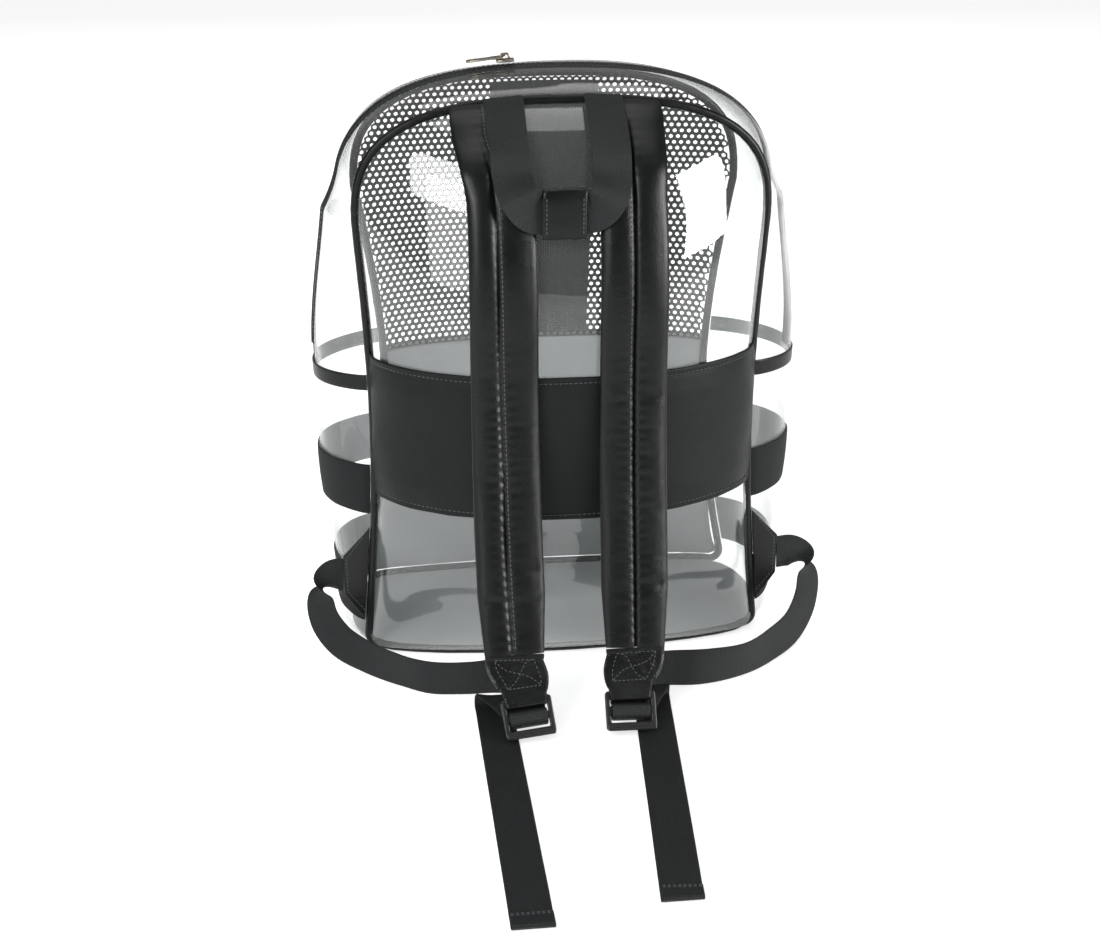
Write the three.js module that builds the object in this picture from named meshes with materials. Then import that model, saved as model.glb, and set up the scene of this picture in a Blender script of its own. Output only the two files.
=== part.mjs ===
// A clear backpack with black piping, mesh front, padded shoulder straps and an arched zip.
// Millimetres, +Z up. The origin is on the floor at the middle of the base. The back, with the straps,
// faces -Y, and the front faces +Y.
import * as THREE from 'three';

// Driving dimensions
const bagHeight = 420;          // floor to the top seam
const bagWidth = 305;           // seam to seam at the base
const bagDepth = 120;           // back seam to front seam at the base
const frontLean = 8;            // how much nearer the front seam comes to the back at the top
const archRise = 84;            // height of the arch over the straight sides
const archPower = 2.8;          // superellipse power of the arch
const cornerRadius = 10;        // bottom corners of the seams
const backWaist = 0.059;        // share of the width that the back loses half way up
const frontWaist = 0.135;       // the same of the front
const topTaper = 0.042;         // share of the width that both lose at the top
const backBelly = 68;           // how far the stuffed back panel stands out
const frontBelly = 26;
const bottomBow = 22;           // how far the bottom seam of the back bows out
const frontBow = 10;
const gussetBulge = 43;         // how far the gusset stands out at most
const sheetWall = 1.2;          // clear sheet
const leatherWall = 1.6;
const bandWall = 1.2;           // elastic and woven bands
const meshWall = 1.2;
const baseWall = 2.6;
const pipingRadius = 3.2;
const gap = 0.35;               // clearance between neighbouring pieces
const lumbarLow = 134;
const lumbarHigh = 242;
const endBandHeight = 217;      // middle of the bound seam at the zip's ends
const endBandWidth = 12;
const upperBandLow = 112;
const upperBandHigh = 152;
const lowerBandLow = 22;
const lowerBandHigh = 62;
const tapeShare = 0.19;         // share of the gusset's way from back to front that the zip tape takes
const coilWidth = 6;
const coilHeight = 2.2;
const crossBandWidth = 8;
const frontSplit = 200;         // height where the mesh gives way to the lower panel
const centerBandWidth = 80;
const strapWidth = 47;
const strapThickness = 10;
const webbingWidth = 27;
const webbingThickness = 1.4;
const strapEndWall = 1.6;
const buckleWidth = 36;
const buckleLength = 28;
const buckleThickness = 4;
const buckleSlotWidth = 29.4;
const gripLength = 30;
const gripWall = 2;
const tailLengthLeft = 250;
const tailLengthRight = 235;
const pullLength = 28;
const pullWidth = 9;
const pullThickness = 1.3;
const sliderLength = 13;

const straightTop = bagHeight - archRise;
const backSeamY = -bagDepth / 2;
const V3 = (x, y, z) => new THREE.Vector3(x, y, z);
const clamp = (x, low, high) => Math.min(high, Math.max(low, x));
const lerp = (a, b, t) => a + (b - a) * t;

// A smooth value from a table of [place, value] rows
function fromTable(rows, place) {
  if (place <= rows[0][0]) return rows[0][1];
  for (let i = 1; i < rows.length; i++) {
    if (place <= rows[i][0]) {
      const t = (place - rows[i - 1][0]) / (rows[i][0] - rows[i - 1][0]);
      return lerp(rows[i - 1][1], rows[i][1], t * t * (3 - 2 * t));
    }
  }
  return rows[rows.length - 1][1];
}

// A closed mesh from points and faces, turned inside out if its volume comes out negative
function solid(name, points, faces, look) {
  let volume = 0;
  for (const [a, b, c] of faces) volume += points[a].dot(V3(0, 0, 0).crossVectors(points[b], points[c]));
  const geometry = new THREE.BufferGeometry();
  geometry.setAttribute('position', new THREE.Float32BufferAttribute(points.flatMap((p) => [p.x, p.y, p.z]), 3));
  geometry.setIndex(faces.flatMap(([a, b, c]) => (volume < 0 ? [a, c, b] : [a, b, c])));
  const mesh = new THREE.Mesh(geometry, look);
  mesh.name = name;
  return mesh;
}

// A grid of rows and columns of points, closed by a second grid behind it and a rim
function walled(name, front, back, look) {
  const rows = front.length;
  const columns = front[0].length;
  const points = [...front.flat(), ...back.flat()];
  const f = (i, j) => i * columns + j;
  const b = (i, j) => rows * columns + i * columns + j;
  const faces = [];
  const quad = (p, q, r, s) => faces.push([p, q, r], [p, r, s]);
  for (let i = 0; i + 1 < rows; i++) {
    for (let j = 0; j + 1 < columns; j++) {
      quad(f(i, j), f(i, j + 1), f(i + 1, j + 1), f(i + 1, j));
      quad(b(i, j), b(i + 1, j), b(i + 1, j + 1), b(i, j + 1));
    }
    quad(f(i, 0), f(i + 1, 0), b(i + 1, 0), b(i, 0));
    quad(f(i, columns - 1), b(i, columns - 1), b(i + 1, columns - 1), f(i + 1, columns - 1));
  }
  for (let j = 0; j + 1 < columns; j++) {
    quad(f(0, j), b(0, j), b(0, j + 1), f(0, j + 1));
    quad(f(rows - 1, j), f(rows - 1, j + 1), b(rows - 1, j + 1), b(rows - 1, j));
  }
  return solid(name, points, faces, look);
}

// A skin over the surface place(u, v), from inner to outer millimetres off it along its outward normal
function skin(name, place, us, vs, inner, outer, look, outward) {
  const step = 1e-3;
  const uLow = us[0], uHigh = us[us.length - 1], vLow = vs[0], vHigh = vs[vs.length - 1];
  const reach = place.reach ?? [uLow, uHigh, vLow, vHigh];
  const normal = (u, v) => {
    const du = place(Math.min(u + step, reach[1]), v).sub(place(Math.max(u - step, reach[0]), v));
    const dv = place(u, Math.min(v + step, reach[3])).sub(place(u, Math.max(v - step, reach[2])));
    return du.cross(dv).normalize();
  };
  const middle = normal(us[us.length >> 1], vs[vs.length >> 1]);
  const side = middle.dot(outward) < 0 ? -1 : 1;
  const layer = (off) => vs.map((v) => us.map((u) => place(u, v).addScaledVector(normal(u, v), side * off)));
  return walled(name, layer(outer), layer(inner), look);
}

// Materials
const look = (color, roughness, metalness = 0, more = {}) =>
  new THREE.MeshStandardMaterial({ color, roughness, metalness, ...more });
const clearSheet = look(0xe8eceb, 0.08, 0, { transparent: true, opacity: 0.3 });
const leather = look(0x17191a, 0.45);
const glossLeather = look(0x121314, 0.25);
const piping = look(0x141516, 0.4);
const meshCloth = look(0x1b1d1e, 0.8);
const greyCloth = look(0x9aa09f, 0.6);
const webbing = look(0x1a1c1d, 0.65);
const elastic = look(0x191b1c, 0.8);
const zipCloth = look(0x1c1e1f, 0.8);
const plastic = look(0x1b1c1d, 0.5);
const metal = look(0x6d675c, 0.3, 1);

// The seams. Station q is 0 at the crest, 1 where the arch meets the straight side and 2 at the floor,
// negative on the left.
function halfWidth(which, z) {
  const waist = which === 'back' ? backWaist : frontWaist;
  const up = clamp(z / straightTop, 0, 1);
  return (bagWidth / 2) * (1 - waist * Math.sin(Math.PI * up) - (topTaper * clamp(z, 0, bagHeight)) / bagHeight);
}
function seamY(which, z) {
  return which === 'back' ? backSeamY : bagDepth / 2 - (frontLean * z) / bagHeight;
}
// How full a panel is across its width, 1 in the middle and 0 at its seams
const roundness = (u) => Math.pow(1 - Math.pow(clamp(Math.abs(u), 0, 1), 2.1), 0.6);
function cornerDrop(x, half, radius) {
  const over = clamp(Math.abs(x) - (half - radius), 0, radius);
  return radius - Math.sqrt(radius * radius - over * over);
}
function seam(which, q) {
  const side = Math.sign(q);
  const a = Math.abs(q);
  if (a <= 1) {
    const polar = (a * Math.PI) / 2;
    const s = Math.sin(polar), c = Math.cos(polar);
    const r = Math.pow(Math.pow(s, archPower) + Math.pow(c, archPower), -1 / archPower);
    const z = straightTop + archRise * r * c;
    return V3(side * halfWidth(which, straightTop) * r * s, seamY(which, z), z);
  }
  const z = pipingRadius + (2 - Math.min(a, 2)) * (straightTop - pipingRadius);
  const low = clamp(cornerRadius - (z - pipingRadius), 0, cornerRadius);
  const inward = cornerRadius - Math.sqrt(cornerRadius * cornerRadius - low * low);
  return V3(side * (halfWidth(which, z) - inward), seamY(which, z), z);
}
const stationOf = (z) => 2 - (z - pipingRadius) / (straightTop - pipingRadius);
function seamOutward(which, q) {
  const near = clamp(q, -1.96, 1.96);
  const along = seam(which, near + 0.01).sub(seam(which, near - 0.01));
  return V3(-along.z, 0, along.x).normalize();
}

// The piping runs round each seam and back along the bottom
function pipingLoop(which) {
  const points = [];
  const steps = 34;
  const bow = which === 'back' ? -bottomBow : frontBow;
  const low = stationOf(pipingRadius + 0.001);
  const stations = [-low, -1.99, -1.975];
  for (let i = 0; i <= 8; i++) stations.push(-1.95 + (0.95 * i) / 8);
  for (let i = 1; i < steps; i++) stations.push(-1 + (2 * i) / steps);
  for (let i = 0; i <= 8; i++) stations.push(1 + (0.95 * i) / 8);
  stations.push(1.975, 1.99, low);
  for (const q of stations) points.push(seam(which, q));
  const half = halfWidth(which, pipingRadius);
  const flat = half - cornerRadius;
  const across = 18;
  for (let i = 1; i < across; i++) {
    const x = flat * Math.cos((Math.PI * i) / across);
    points.push(V3(x, seamY(which, 0) + bow * roundness(x / flat), pipingRadius));
  }
  return points;
}
function roundLoop(name, path, radius, sides, material) {
  const points = [];
  const faces = [];
  const count = path.length;
  path.forEach((p, i) => {
    const along = path[(i + 1) % count].clone().sub(path[(i + count - 1) % count]).normalize();
    const first = V3(0, 1, 0).cross(along).normalize();
    const second = along.clone().cross(first);
    for (let k = 0; k < sides; k++) {
      const turn = (2 * Math.PI * k) / sides;
      points.push(p.clone().addScaledVector(first, radius * Math.cos(turn)).addScaledVector(second, radius * Math.sin(turn)));
    }
  });
  for (let i = 0; i < count; i++) {
    for (let k = 0; k < sides; k++) {
      const a = i * sides + k, b = i * sides + ((k + 1) % sides);
      const c = ((i + 1) % count) * sides + ((k + 1) % sides), d = ((i + 1) % count) * sides + k;
      faces.push([a, b, c], [a, c, d]);
    }
  }
  return solid(name, points, faces, material);
}

// The back and front panels: u runs across, v is the height in millimetres up to panelTurn and
// one more for each share of the way from there to the arch
const panelTurn = 255;
const panelInset = pipingRadius + 1.3 * gap + leatherWall / 2;
const insetFlat = panelInset * 0.5;
const insetDeep = panelInset * 0.866;
const fullness = {
  back: [[0, bottomBow / backBelly], [0.32, 0.83], [0.57, 1], [1, 1]],
  front: [[0, frontBow / frontBelly], [0.4, 0.9], [0.6, 1], [1, 1]],
};
function panelColumns(count) {
  return Array.from({ length: count + 1 }, (_, i) => {
    const polar = (Math.abs(i / count - 0.5) * 2 * Math.PI) / 2;
    const s = Math.sin(polar), c = Math.cos(polar);
    const r = Math.pow(Math.pow(s, archPower) + Math.pow(c, archPower), -1 / archPower);
    return Math.sign(i - count / 2) * Math.min(1, r * s);
  });
}
const archShare = (u) => Math.pow(1 - Math.pow(Math.min(1, Math.abs(u)), archPower), 1 / archPower);
function panelPlace(which, u, v) {
  const outward = which === 'back' ? -1 : 1;
  const belly = which === 'back' ? backBelly : frontBelly;
  const bottom = pipingRadius + insetFlat;
  const top = straightTop + (archRise - insetFlat) * archShare(u);
  const up = clamp(v - panelTurn, 0, 1);
  let z = v <= panelTurn ? v : panelTurn + up * (top - panelTurn);
  const half = halfWidth(which, z) - insetFlat;
  const radius = cornerRadius - insetFlat;
  if (v <= panelTurn) {
    const share = clamp((v - bottom) / (panelTurn - bottom), 0, 1);
    z = lerp(bottom + cornerDrop(u * half, half, radius), panelTurn, share);
    z = share > 0.2 ? v : lerp(bottom + cornerDrop(u * half, half, radius), v, share / 0.2);
  }
  const low = fromTable(fullness[which], clamp(v / panelTurn, 0, 1));
  const full = v <= panelTurn ? low : Math.pow(Math.max(0, 1 - Math.pow(up, 2.2)), 0.62);
  const y = seamY(which, z) + outward * (insetDeep + belly * roundness(u) * full);
  return V3(u * half, y, z);
}
function panel(which) {
  const place = (u, v) => panelPlace(which, u, v);
  place.reach = [-1, 1, pipingRadius + insetFlat, panelTurn + 1];
  return place;
}
const backPlace = panel('back');
const frontPlace = panel('front');
const columns = panelColumns(18);
const panelBottom = pipingRadius + insetFlat;
const backRows = [panelBottom, 28, 60, 98, lumbarLow, 170, 206, lumbarHigh, 255, 255.35, 255.62, 255.8, 255.92, 255.985, 256];

// The point of the back panel's outer face under a place seen from behind
function backFace(x, z) {
  const half = halfWidth('back', z) - insetFlat;
  const u = clamp(x / half, -1, 1);
  if (z <= panelTurn) return backPlace(u, z).y - sheetWall / 2;
  const top = straightTop + (archRise - insetFlat) * archShare(u);
  return backPlace(u, panelTurn + clamp((z - panelTurn) / (top - panelTurn), 0, 1)).y - sheetWall / 2;
}

// The gusset: q is the station along the seams, s runs from the back seam to the front seam
const bulgeShares = [[0, 0.28], [0.5, 0.24], [0.8, 0.25], [1.35, 1], [1.55, 1], [2, 0.45]];
const gussetInset = pipingRadius + 2.2 * gap + sheetWall / 2;
function gussetPlace(q, s) {
  const back = seam('back', q), front = seam('front', q);
  const outward = seamOutward('back', q);
  back.addScaledVector(outward, gussetInset * 0.6);
  back.y += gussetInset * 0.8;
  front.addScaledVector(outward, gussetInset * 0.6);
  front.y -= gussetInset * 0.8;
  const full = Math.pow(Math.max(0, 1 - Math.pow(Math.abs(2 * s - 1), 2.3)), 0.8);
  return back.lerp(front, s).addScaledVector(outward, gussetBulge * fromTable(bulgeShares, Math.abs(q)) * full);
}
gussetPlace.reach = [-2, 2, 0, 1];
const evenly = (from, to, count) => Array.from({ length: count + 1 }, (_, i) => lerp(from, to, i / count));

const group = new THREE.Group();
const add = (mesh) => group.add(mesh);
const up = V3(0, 0, 1), left = V3(-1, 0, 0), right = V3(1, 0, 0), toBack = V3(0, -1, 0), toFront = V3(0, 1, 0);

// Panels, band and piping
add(skin('back_panel', backPlace, columns, backRows, -sheetWall / 2, sheetWall / 2, clearSheet, toBack));
const lumbarOff = sheetWall / 2 + gap;
add(skin('lumbar_band', backPlace, columns, backRows.slice(4, 8), lumbarOff, lumbarOff + leatherWall, leather, toBack));
add(roundLoop('back_piping', pipingLoop('back'), pipingRadius, 6, piping));
add(roundLoop('front_piping', pipingLoop('front'), pipingRadius, 6, piping));

// Front
const splitGap = crossBandWidth * 0.02 + gap;
const centerHalf = centerBandWidth / 2 / (halfWidth('front', 300) - insetFlat);
const frontColumns = panelColumns(14).filter((u) => Math.abs(Math.abs(u) - centerHalf) > 0.05);
frontColumns.push(-centerHalf, centerHalf);
frontColumns.sort((a, b) => a - b);
const lowerRows = [panelBottom, 30, 75, 135, frontSplit - crossBandWidth / 2, frontSplit - splitGap / 2];
const meshRows = [frontSplit + splitGap / 2, frontSplit + crossBandWidth / 2, (frontSplit + panelTurn) / 2, panelTurn,
  panelTurn + 0.3, panelTurn + 0.55, panelTurn + 0.75, panelTurn + 0.9, panelTurn + 0.98, panelTurn + 1];
add(skin('front_lower_panel', frontPlace, frontColumns, lowerRows, -leatherWall / 2, leatherWall / 2, greyCloth, toFront));
add(skin('front_mesh', frontPlace, frontColumns, meshRows, -meshWall / 2, meshWall / 2, meshCloth, toFront));
const crossRows = [...lowerRows.slice(-2), ...meshRows.slice(0, 2)];
const crossOff = leatherWall / 2 + gap;
add(skin('front_cross_band', frontPlace, frontColumns, crossRows, crossOff, crossOff + bandWall, webbing, toFront));
const centerColumns = frontColumns.filter((u) => Math.abs(u) <= centerHalf);
const centerOff = -meshWall / 2 - gap;
add(skin('front_center_band', frontPlace, centerColumns, meshRows.slice(1, -1), centerOff - bandWall, centerOff, webbing,
  toFront));

// Gusset, zip and side bands
const stripLow = stationOf(endBandHeight + gap);
const bandTop = stationOf(endBandHeight + endBandWidth / 2);
const coilEnd = bandTop - (2 * coilWidth) / (straightTop - pipingRadius);
const stripStations = [-stripLow, -bandTop, ...evenly(-coilEnd, coilEnd, 26), bandTop, stripLow];
const coilShare = 0.47;
const tapeFrom = coilShare - tapeShare / 2, tapeTo = coilShare + tapeShare / 2;
const stripGap = gap / bagDepth;
const backShares = [0, 0.1, 0.24, tapeFrom - stripGap];
const tapeShares = [tapeFrom, coilShare, tapeTo];
const frontShares = [tapeTo + stripGap, 0.72, 0.88, 1];
add(skin('gusset_strip_back', gussetPlace, stripStations, backShares, -sheetWall / 2, sheetWall / 2,
  clearSheet, up));
add(skin('zipper_tape', gussetPlace, stripStations, tapeShares, -bandWall / 2, bandWall / 2, zipCloth, up));
add(skin('gusset_strip_front', gussetPlace, stripStations, frontShares, -sheetWall / 2, sheetWall / 2,
  clearSheet, up));
const coilHalf = coilWidth / 2 / bagDepth;
add(skin('zipper_coil', gussetPlace, stripStations.slice(2, -2), [coilShare - coilHalf, coilShare, coilShare + coilHalf],
  bandWall / 2 + gap, bandWall / 2 + gap + coilHeight, zipCloth, up));

const sideHeights = [pipingRadius + 0.01, 12, lowerBandLow, lowerBandHigh, 87, upperBandLow, upperBandHigh, 182,
  endBandHeight - endBandWidth / 2, endBandHeight - gap];
const sideShares = [...backShares, ...tapeShares, ...frontShares];
for (const [hand, sign, outward] of [['left', -1, left], ['right', 1, right]]) {
  const place = (s, z) => gussetPlace(sign * stationOf(z), s);
  place.reach = [0, 1, pipingRadius, endBandHeight + endBandWidth];
  const half = sheetWall / 2;
  add(skin(`side_panel_${hand}`, place, sideShares, sideHeights, -half, half, clearSheet, outward));
  const over = (name, rows, wall, material) =>
    add(skin(name, place, sideShares, rows, half + gap, half + gap + wall, material, outward));
  const endRows = [sideHeights[8], sideHeights[9], endBandHeight + gap, endBandHeight + endBandWidth / 2];
  over(`zip_end_band_${hand}`, endRows, bandWall, piping);
  over(`side_band_upper_${hand}`, [upperBandLow, upperBandHigh], bandWall, elastic);
  over(`side_band_lower_${hand}`, [lowerBandLow, lowerBandHigh], bandWall, elastic);
}

// Base: its edge follows the bowed seams and the gusset's lower edge
function basePanel() {
  const inset = pipingRadius + 4 * gap;
  const outline = [];
  const runs = 16;
  for (const [which, bow, sign] of [['back', -bottomBow, 1], ['front', frontBow, -1]]) {
    const flat = halfWidth(which, pipingRadius) - cornerRadius;
    for (let i = 0; i <= runs; i++) {
      const x = sign * flat * -Math.cos((Math.PI * i) / runs);
      outline.push([x, seamY(which, 0) + bow * roundness(x / flat) + sign * inset]);
    }
    for (const s of sideShares.slice(1, -1)) {
      const p = gussetPlace(sign * 2, sign > 0 ? s : 1 - s);
      outline.push([p.x, p.y]);
    }
  }
  const shape = new THREE.Shape(outline.map(([x, y]) => new THREE.Vector2(x, y)));
  const geometry = new THREE.ExtrudeGeometry(shape, { depth: baseWall, bevelEnabled: false });
  const mesh = new THREE.Mesh(geometry, leather);
  mesh.name = 'base_panel';
  return mesh;
}
add(basePanel());

// A ribbon through rows of {at, across, width, thickness}: a smooth path, its width along across
function ribbon(name, rows, steps, material, profile = [[-1, 1, 1], [1, 1, 1]]) {
  const path = new THREE.CatmullRomCurve3(rows.map((r) => r.at), false, 'centripetal');
  const sides = new THREE.CatmullRomCurve3(rows.map((r) => r.across.clone().normalize()), false, 'centripetal');
  const value = (key, t) => {
    const k = clamp(t * (rows.length - 1), 0, rows.length - 1.0001);
    const i = Math.floor(k);
    return lerp(rows[i][key], rows[i + 1][key], k - i);
  };
  const front = [], back = [];
  for (const t of steps) {
    const middle = path.getPoint(t);
    const along = path.getTangent(t);
    const across = sides.getPoint(t);
    across.addScaledVector(along, -across.dot(along)).normalize();
    const out = along.clone().cross(across).normalize();
    const half = value('width', t) / 2, thick = value('thickness', t) / 2;
    front.push(profile.map(([w, high]) => middle.clone().addScaledVector(across, w * half).addScaledVector(out, high * thick)));
    back.push(profile.map(([w, , low]) => middle.clone().addScaledVector(across, w * half).addScaledVector(out, -low * thick)));
  }
  return walled(name, front, back, material);
}

// Where the front of each strap lies, for what hangs over it
const strapSlack = 0.6;
const strapRows = {
  // height share of the bag, thickness share, width share
  top: [[0.92, 0.72, 1.02], [0.87, 1, 0.98], [0.78, 1, 0.99]],
  low: [[0.7, 1, 1], [0.62, 1, 1], [0.56, 1, 1]],
};
const strapX = {
  left: [[0.04, -46], [0.13, -49.5], [0.3, -50.5], [0.85, -50], [0.978, -55]],
  right: [[0.04, 36], [0.13, 37], [0.3, 38.5], [0.85, 40], [0.978, 40.5]],
};
const strapMiddle = (hand, z) => fromTable(strapX[hand], z / bagHeight);
const bandOver = (z) => (z < lumbarHigh + 12 ? leatherWall + gap : 0);
function strapBack(x, z) {
  const faces = [-0.5, -0.25, 0, 0.25, 0.5].flatMap((w) => [-0.012, 0, 0.012].map((h) =>
    backFace(x + w * strapWidth, Math.min(z + h * bagHeight, 0.982 * bagHeight))));
  return Math.min(...faces) - strapSlack - bandOver(z);
}

// The straps' heads lie on the panel up to the piping: share of the panel's arch, thickness and width shares
const strapHead = [[0.9995, 0.3, 1.06], [0.985, 0.3, 1.08], [0.955, 0.36, 1.08], [0.905, 0.5, 1.05]];
function headRow(hand, [share, thick, wide]) {
  const x = strapMiddle(hand, bagHeight);
  const u = x / (halfWidth('back', bagHeight) - insetFlat);
  const v = panelTurn + share;
  const at = panelPlace('back', u, v);
  const across = panelPlace('back', u + 0.02, v).sub(panelPlace('back', u - 0.02, v)).normalize();
  const rise = at.clone().sub(panelPlace('back', u, v - 0.002)).normalize();
  const out = across.clone().cross(rise).normalize();
  const thickness = strapThickness * thick;
  at.addScaledVector(out, sheetWall / 2 + 2 * gap + thickness / 2);
  return { at, across, out, width: strapWidth * wide, thickness };
}

// The ladder-lock buckles. Local (u, w, n): u down the strap, w across, n out of its face.
const buckleRise = 15.6;
const buckles = {
  left: { at: V3(-42, -205, buckleRise), tilt: 0.1 },
  right: { at: V3(31, -204, buckleRise), tilt: -0.02 },
};
for (const b of Object.values(buckles)) {
  b.down = V3(0, -0.64, -0.768).applyAxisAngle(V3(0, -0.768, 0.64), b.tilt);
  b.out = V3(0, -0.768, 0.64);
  b.across = b.down.clone().cross(b.out).negate();
  if (b.across.x < 0) b.across.negate();
  b.place = (u, w, n) => b.at.clone().addScaledVector(b.down, u).addScaledVector(b.across, w).addScaledVector(b.out, n);
}
const slotOne = [-9, -2.3, 0], slotTwo = [2.3, 8.6, 0.3];
// Three points of a quarter circle about (x, y), from the given quarter turn on
function roundCorner(x, y, radius, quarter) {
  return [0, 0.5, 1].map((t) => {
    const turn = ((quarter + t) * Math.PI) / 2;
    return new THREE.Vector2(x + radius * Math.cos(turn), y + radius * Math.sin(turn));
  });
}
function buckle(name, b) {
  const r = 2.4, u = buckleLength / 2 - r, w = buckleWidth / 2 - r;
  const frame = new THREE.Shape([[u, -w, -1], [u, w, 0], [-u, w, 1], [-u, -w, 2]].flatMap(([x, y, quarter]) =>
    roundCorner(x, y, r, quarter)));
  for (const [u0, u1, narrower] of [slotOne, slotTwo]) {
    const half = buckleSlotWidth / 2 - narrower;
    frame.holes.push(new THREE.Path([[u0, -half], [u0, half], [u1, half], [u1, -half]].map(([x, y]) =>
      new THREE.Vector2(x, y))));
  }
  const geometry = new THREE.ExtrudeGeometry(frame, { depth: buckleThickness, bevelEnabled: false });
  geometry.translate(0, 0, -buckleThickness / 2);
  const basis = new THREE.Matrix4().makeBasis(b.down, b.across, b.down.clone().cross(b.across));
  const mesh = new THREE.Mesh(geometry, plastic);
  mesh.applyMatrix4(basis.setPosition(b.at));
  mesh.name = name;
  return mesh;
}

// Padded straps, from the top seam down over the belly and out to the buckles
const padProfile = [[-1, 0.12, 0.2], [-0.86, 0.86, 0.7], [-0.5, 1, 1], [0, 0.62, 1], [0.5, 1, 1], [0.86, 0.86, 0.7],
  [1, 0.12, 0.2]];
function strapParts(hand) {
  const b = buckles[hand];
  const rows = strapHead.map((head) => headRow(hand, head));
  for (const [h, thick, wide] of [...strapRows.top, ...strapRows.low]) {
    const z = h * bagHeight;
    const x = strapMiddle(hand, z);
    const thickness = strapThickness * thick;
    rows.push({ at: V3(x, strapBack(x, z) - thickness / 2, z), across: right, width: strapWidth * wide, thickness });
  }
  const last = rows[rows.length - 1].at;
  const end = b.place(-44, 0, 8);
  for (const [t, bend] of [[0.3, 5], [0.55, 6], [0.78, 4], [1, 0]]) {
    const at = last.clone().lerp(end, t);
    at.y += bend;
    at.x = strapMiddle(hand, at.z);
    const width = strapWidth * (t === 1 ? 0.9 : 1.02);
    rows.push({ at, across: right, width, thickness: strapThickness * (t === 1 ? 0.8 : 1) });
  }
  const steps = evenly(0, 1, 24);
  add(ribbon(`shoulder_strap_${hand}`, rows, steps, leather, padProfile));
  const tip = rows[rows.length - 1];
  const along = tip.at.clone().sub(rows[rows.length - 2].at).normalize();
  const start = tip.at.clone().addScaledVector(along, 0.7);
  const wrap = [[-25, 4.9, 0.8, 1.6], [-15.5, 3.3, 0.66, 1], [-10.5, 3.25, 0.62, 1], [-8.5, 3.2, 0.61, 1], [-7.8, 2.2, 0.61, 1],
    [-7.75, 0, 0.61, 1], [-7.8, -2.2, 0.61, 1], [-8.5, -3.2, 0.61, 1], [-10.5, -3.3, 0.61, 1], [-17, -3.2, 0.61, 1]];
  const endRows = [{ at: start, across: right, width: strapWidth * 0.9, thickness: strapEndWall * 2 }];
  const next = start.clone().addScaledVector(along, 6);
  endRows.push({ at: next, across: right, width: strapWidth * 0.88, thickness: strapEndWall * 2 });
  for (const [u, n, wide, thick] of wrap) {
    endRows.push({ at: b.place(u, 0, n), across: b.across, width: strapWidth * wide, thickness: strapEndWall * thick });
  }
  add(ribbon(`strap_end_${hand}`, endRows, evenly(0, 1, 30), glossLeather));
  add(buckle(`buckle_${hand}`, b));
}
strapParts('left');
strapParts('right');

// Lower webbing, from its tab round to the buckle, through its slots, and forward along the floor
const floorLie = 0.35 + webbingThickness / 2;
const upright = V3(0, 0, 1);
const webbingRows = {
  left: {
    start: [[-168.4, -61.2, 64, 0, 0, 1], [-175, -61.2, 64, 0.05, 0, 1], [-185.5, -63.5, 53, 0.5, -0.1, 1], [-185, -72, 35, 0.6, -0.1, 0.9],
      [-174, -84, 21, 0.4, 0.1, 1], [-157, -98, 14.6, 0.1, 0.1, 1], [-132, -122, 14, 0, 0, 1], [-108, -138, 14, 0, 0, 1],
      [-82, -142, 14, 0, 0, 1], [-64, -143, 15, 0.1, 0.05, 1], [-51, -150, 20, 0.7, 0.1, 0.8], [-45, -164, 27, 1, 0, 0.25]],
    loop: [[-46, -186, 9.6], [-54, -176, 12], [-60, -166, 11], [-63, -159.5, 7.2], [-63.5, -161, 2.6], [-63.2, -170, floorLie]],
    tail: [-61, -1],
  },
  right: {
    start: [[168.4, -61.2, 65, 0, 0, 1], [180, -61.2, 65, -0.15, 0, 1], [191.5, -63.5, 55, -0.5, -0.1, 1], [191, -74, 35, -0.6, -0.1, 0.9],
      [176, -96, 19, -0.3, 0.1, 1], [154, -117, 14.4, -0.1, 0.1, 1], [128, -137, 14, 0, 0, 1], [96, -145, 14, 0, 0.2, 1],
      [70, -144, 14, 0, 0.2, 1], [54, -146, 15.5, -0.1, 0.1, 1], [41, -152, 21, -0.7, 0.1, 0.8], [34, -165, 28, -1, 0, 0.25]],
    loop: [[38, -186, 9.6], [46, -175, 12], [52, -165, 11], [54, -158.5, 7.2], [53.5, -160, 2.6], [52.6, -169, floorLie]],
    tail: [41, -22],
  },
};
function lowerWebbing(hand, tailLength) {
  const b = buckles[hand];
  const side = hand === 'left' ? 1 : -1;
  const table = webbingRows[hand];
  const rows = table.start.map(([x, y, z, ax, ay, az]) => ({ at: V3(x, y, z), across: V3(ax, ay, az) }));
  const flat = b.across.clone().multiplyScalar(side);
  const threaded = [[-22, -8.2], [-15, -6.8], [-10, -6.3], [-6.3, -5], [-4.6, -1.8], [-4.3, 1.1], [-3, 3.4], [0, 3.85], [3, 3.3],
    [4.9, 1.2], [5.4, -1.4], [5.6, -4.2], [3.4, -7.2], [-1.5, -9]];
  for (const [u, n] of threaded) rows.push({ at: b.place(u, 0, n), across: flat });
  for (const [x, y, z] of table.loop) rows.push({ at: V3(x, y, z), across: V3(side, 0, 0) });
  const from = table.loop[table.loop.length - 1];
  for (const t of [0.12, 0.3, 0.5, 0.7, 0.85, 1]) {
    const x = lerp(from[0], table.tail[0] + table.tail[1] * 0.45, t);
    rows.push({ at: V3(x, from[1] - tailLength * t, floorLie), across: V3(side, 0, 0) });
  }
  for (const r of rows) Object.assign(r, { width: webbingWidth, thickness: webbingThickness });
  return ribbon(`webbing_${hand}`, rows, evenly(0, 1, (rows.length - 1) * 2), webbing);
}
add(lowerWebbing('left', tailLengthLeft));
add(lowerWebbing('right', tailLengthRight));

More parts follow.
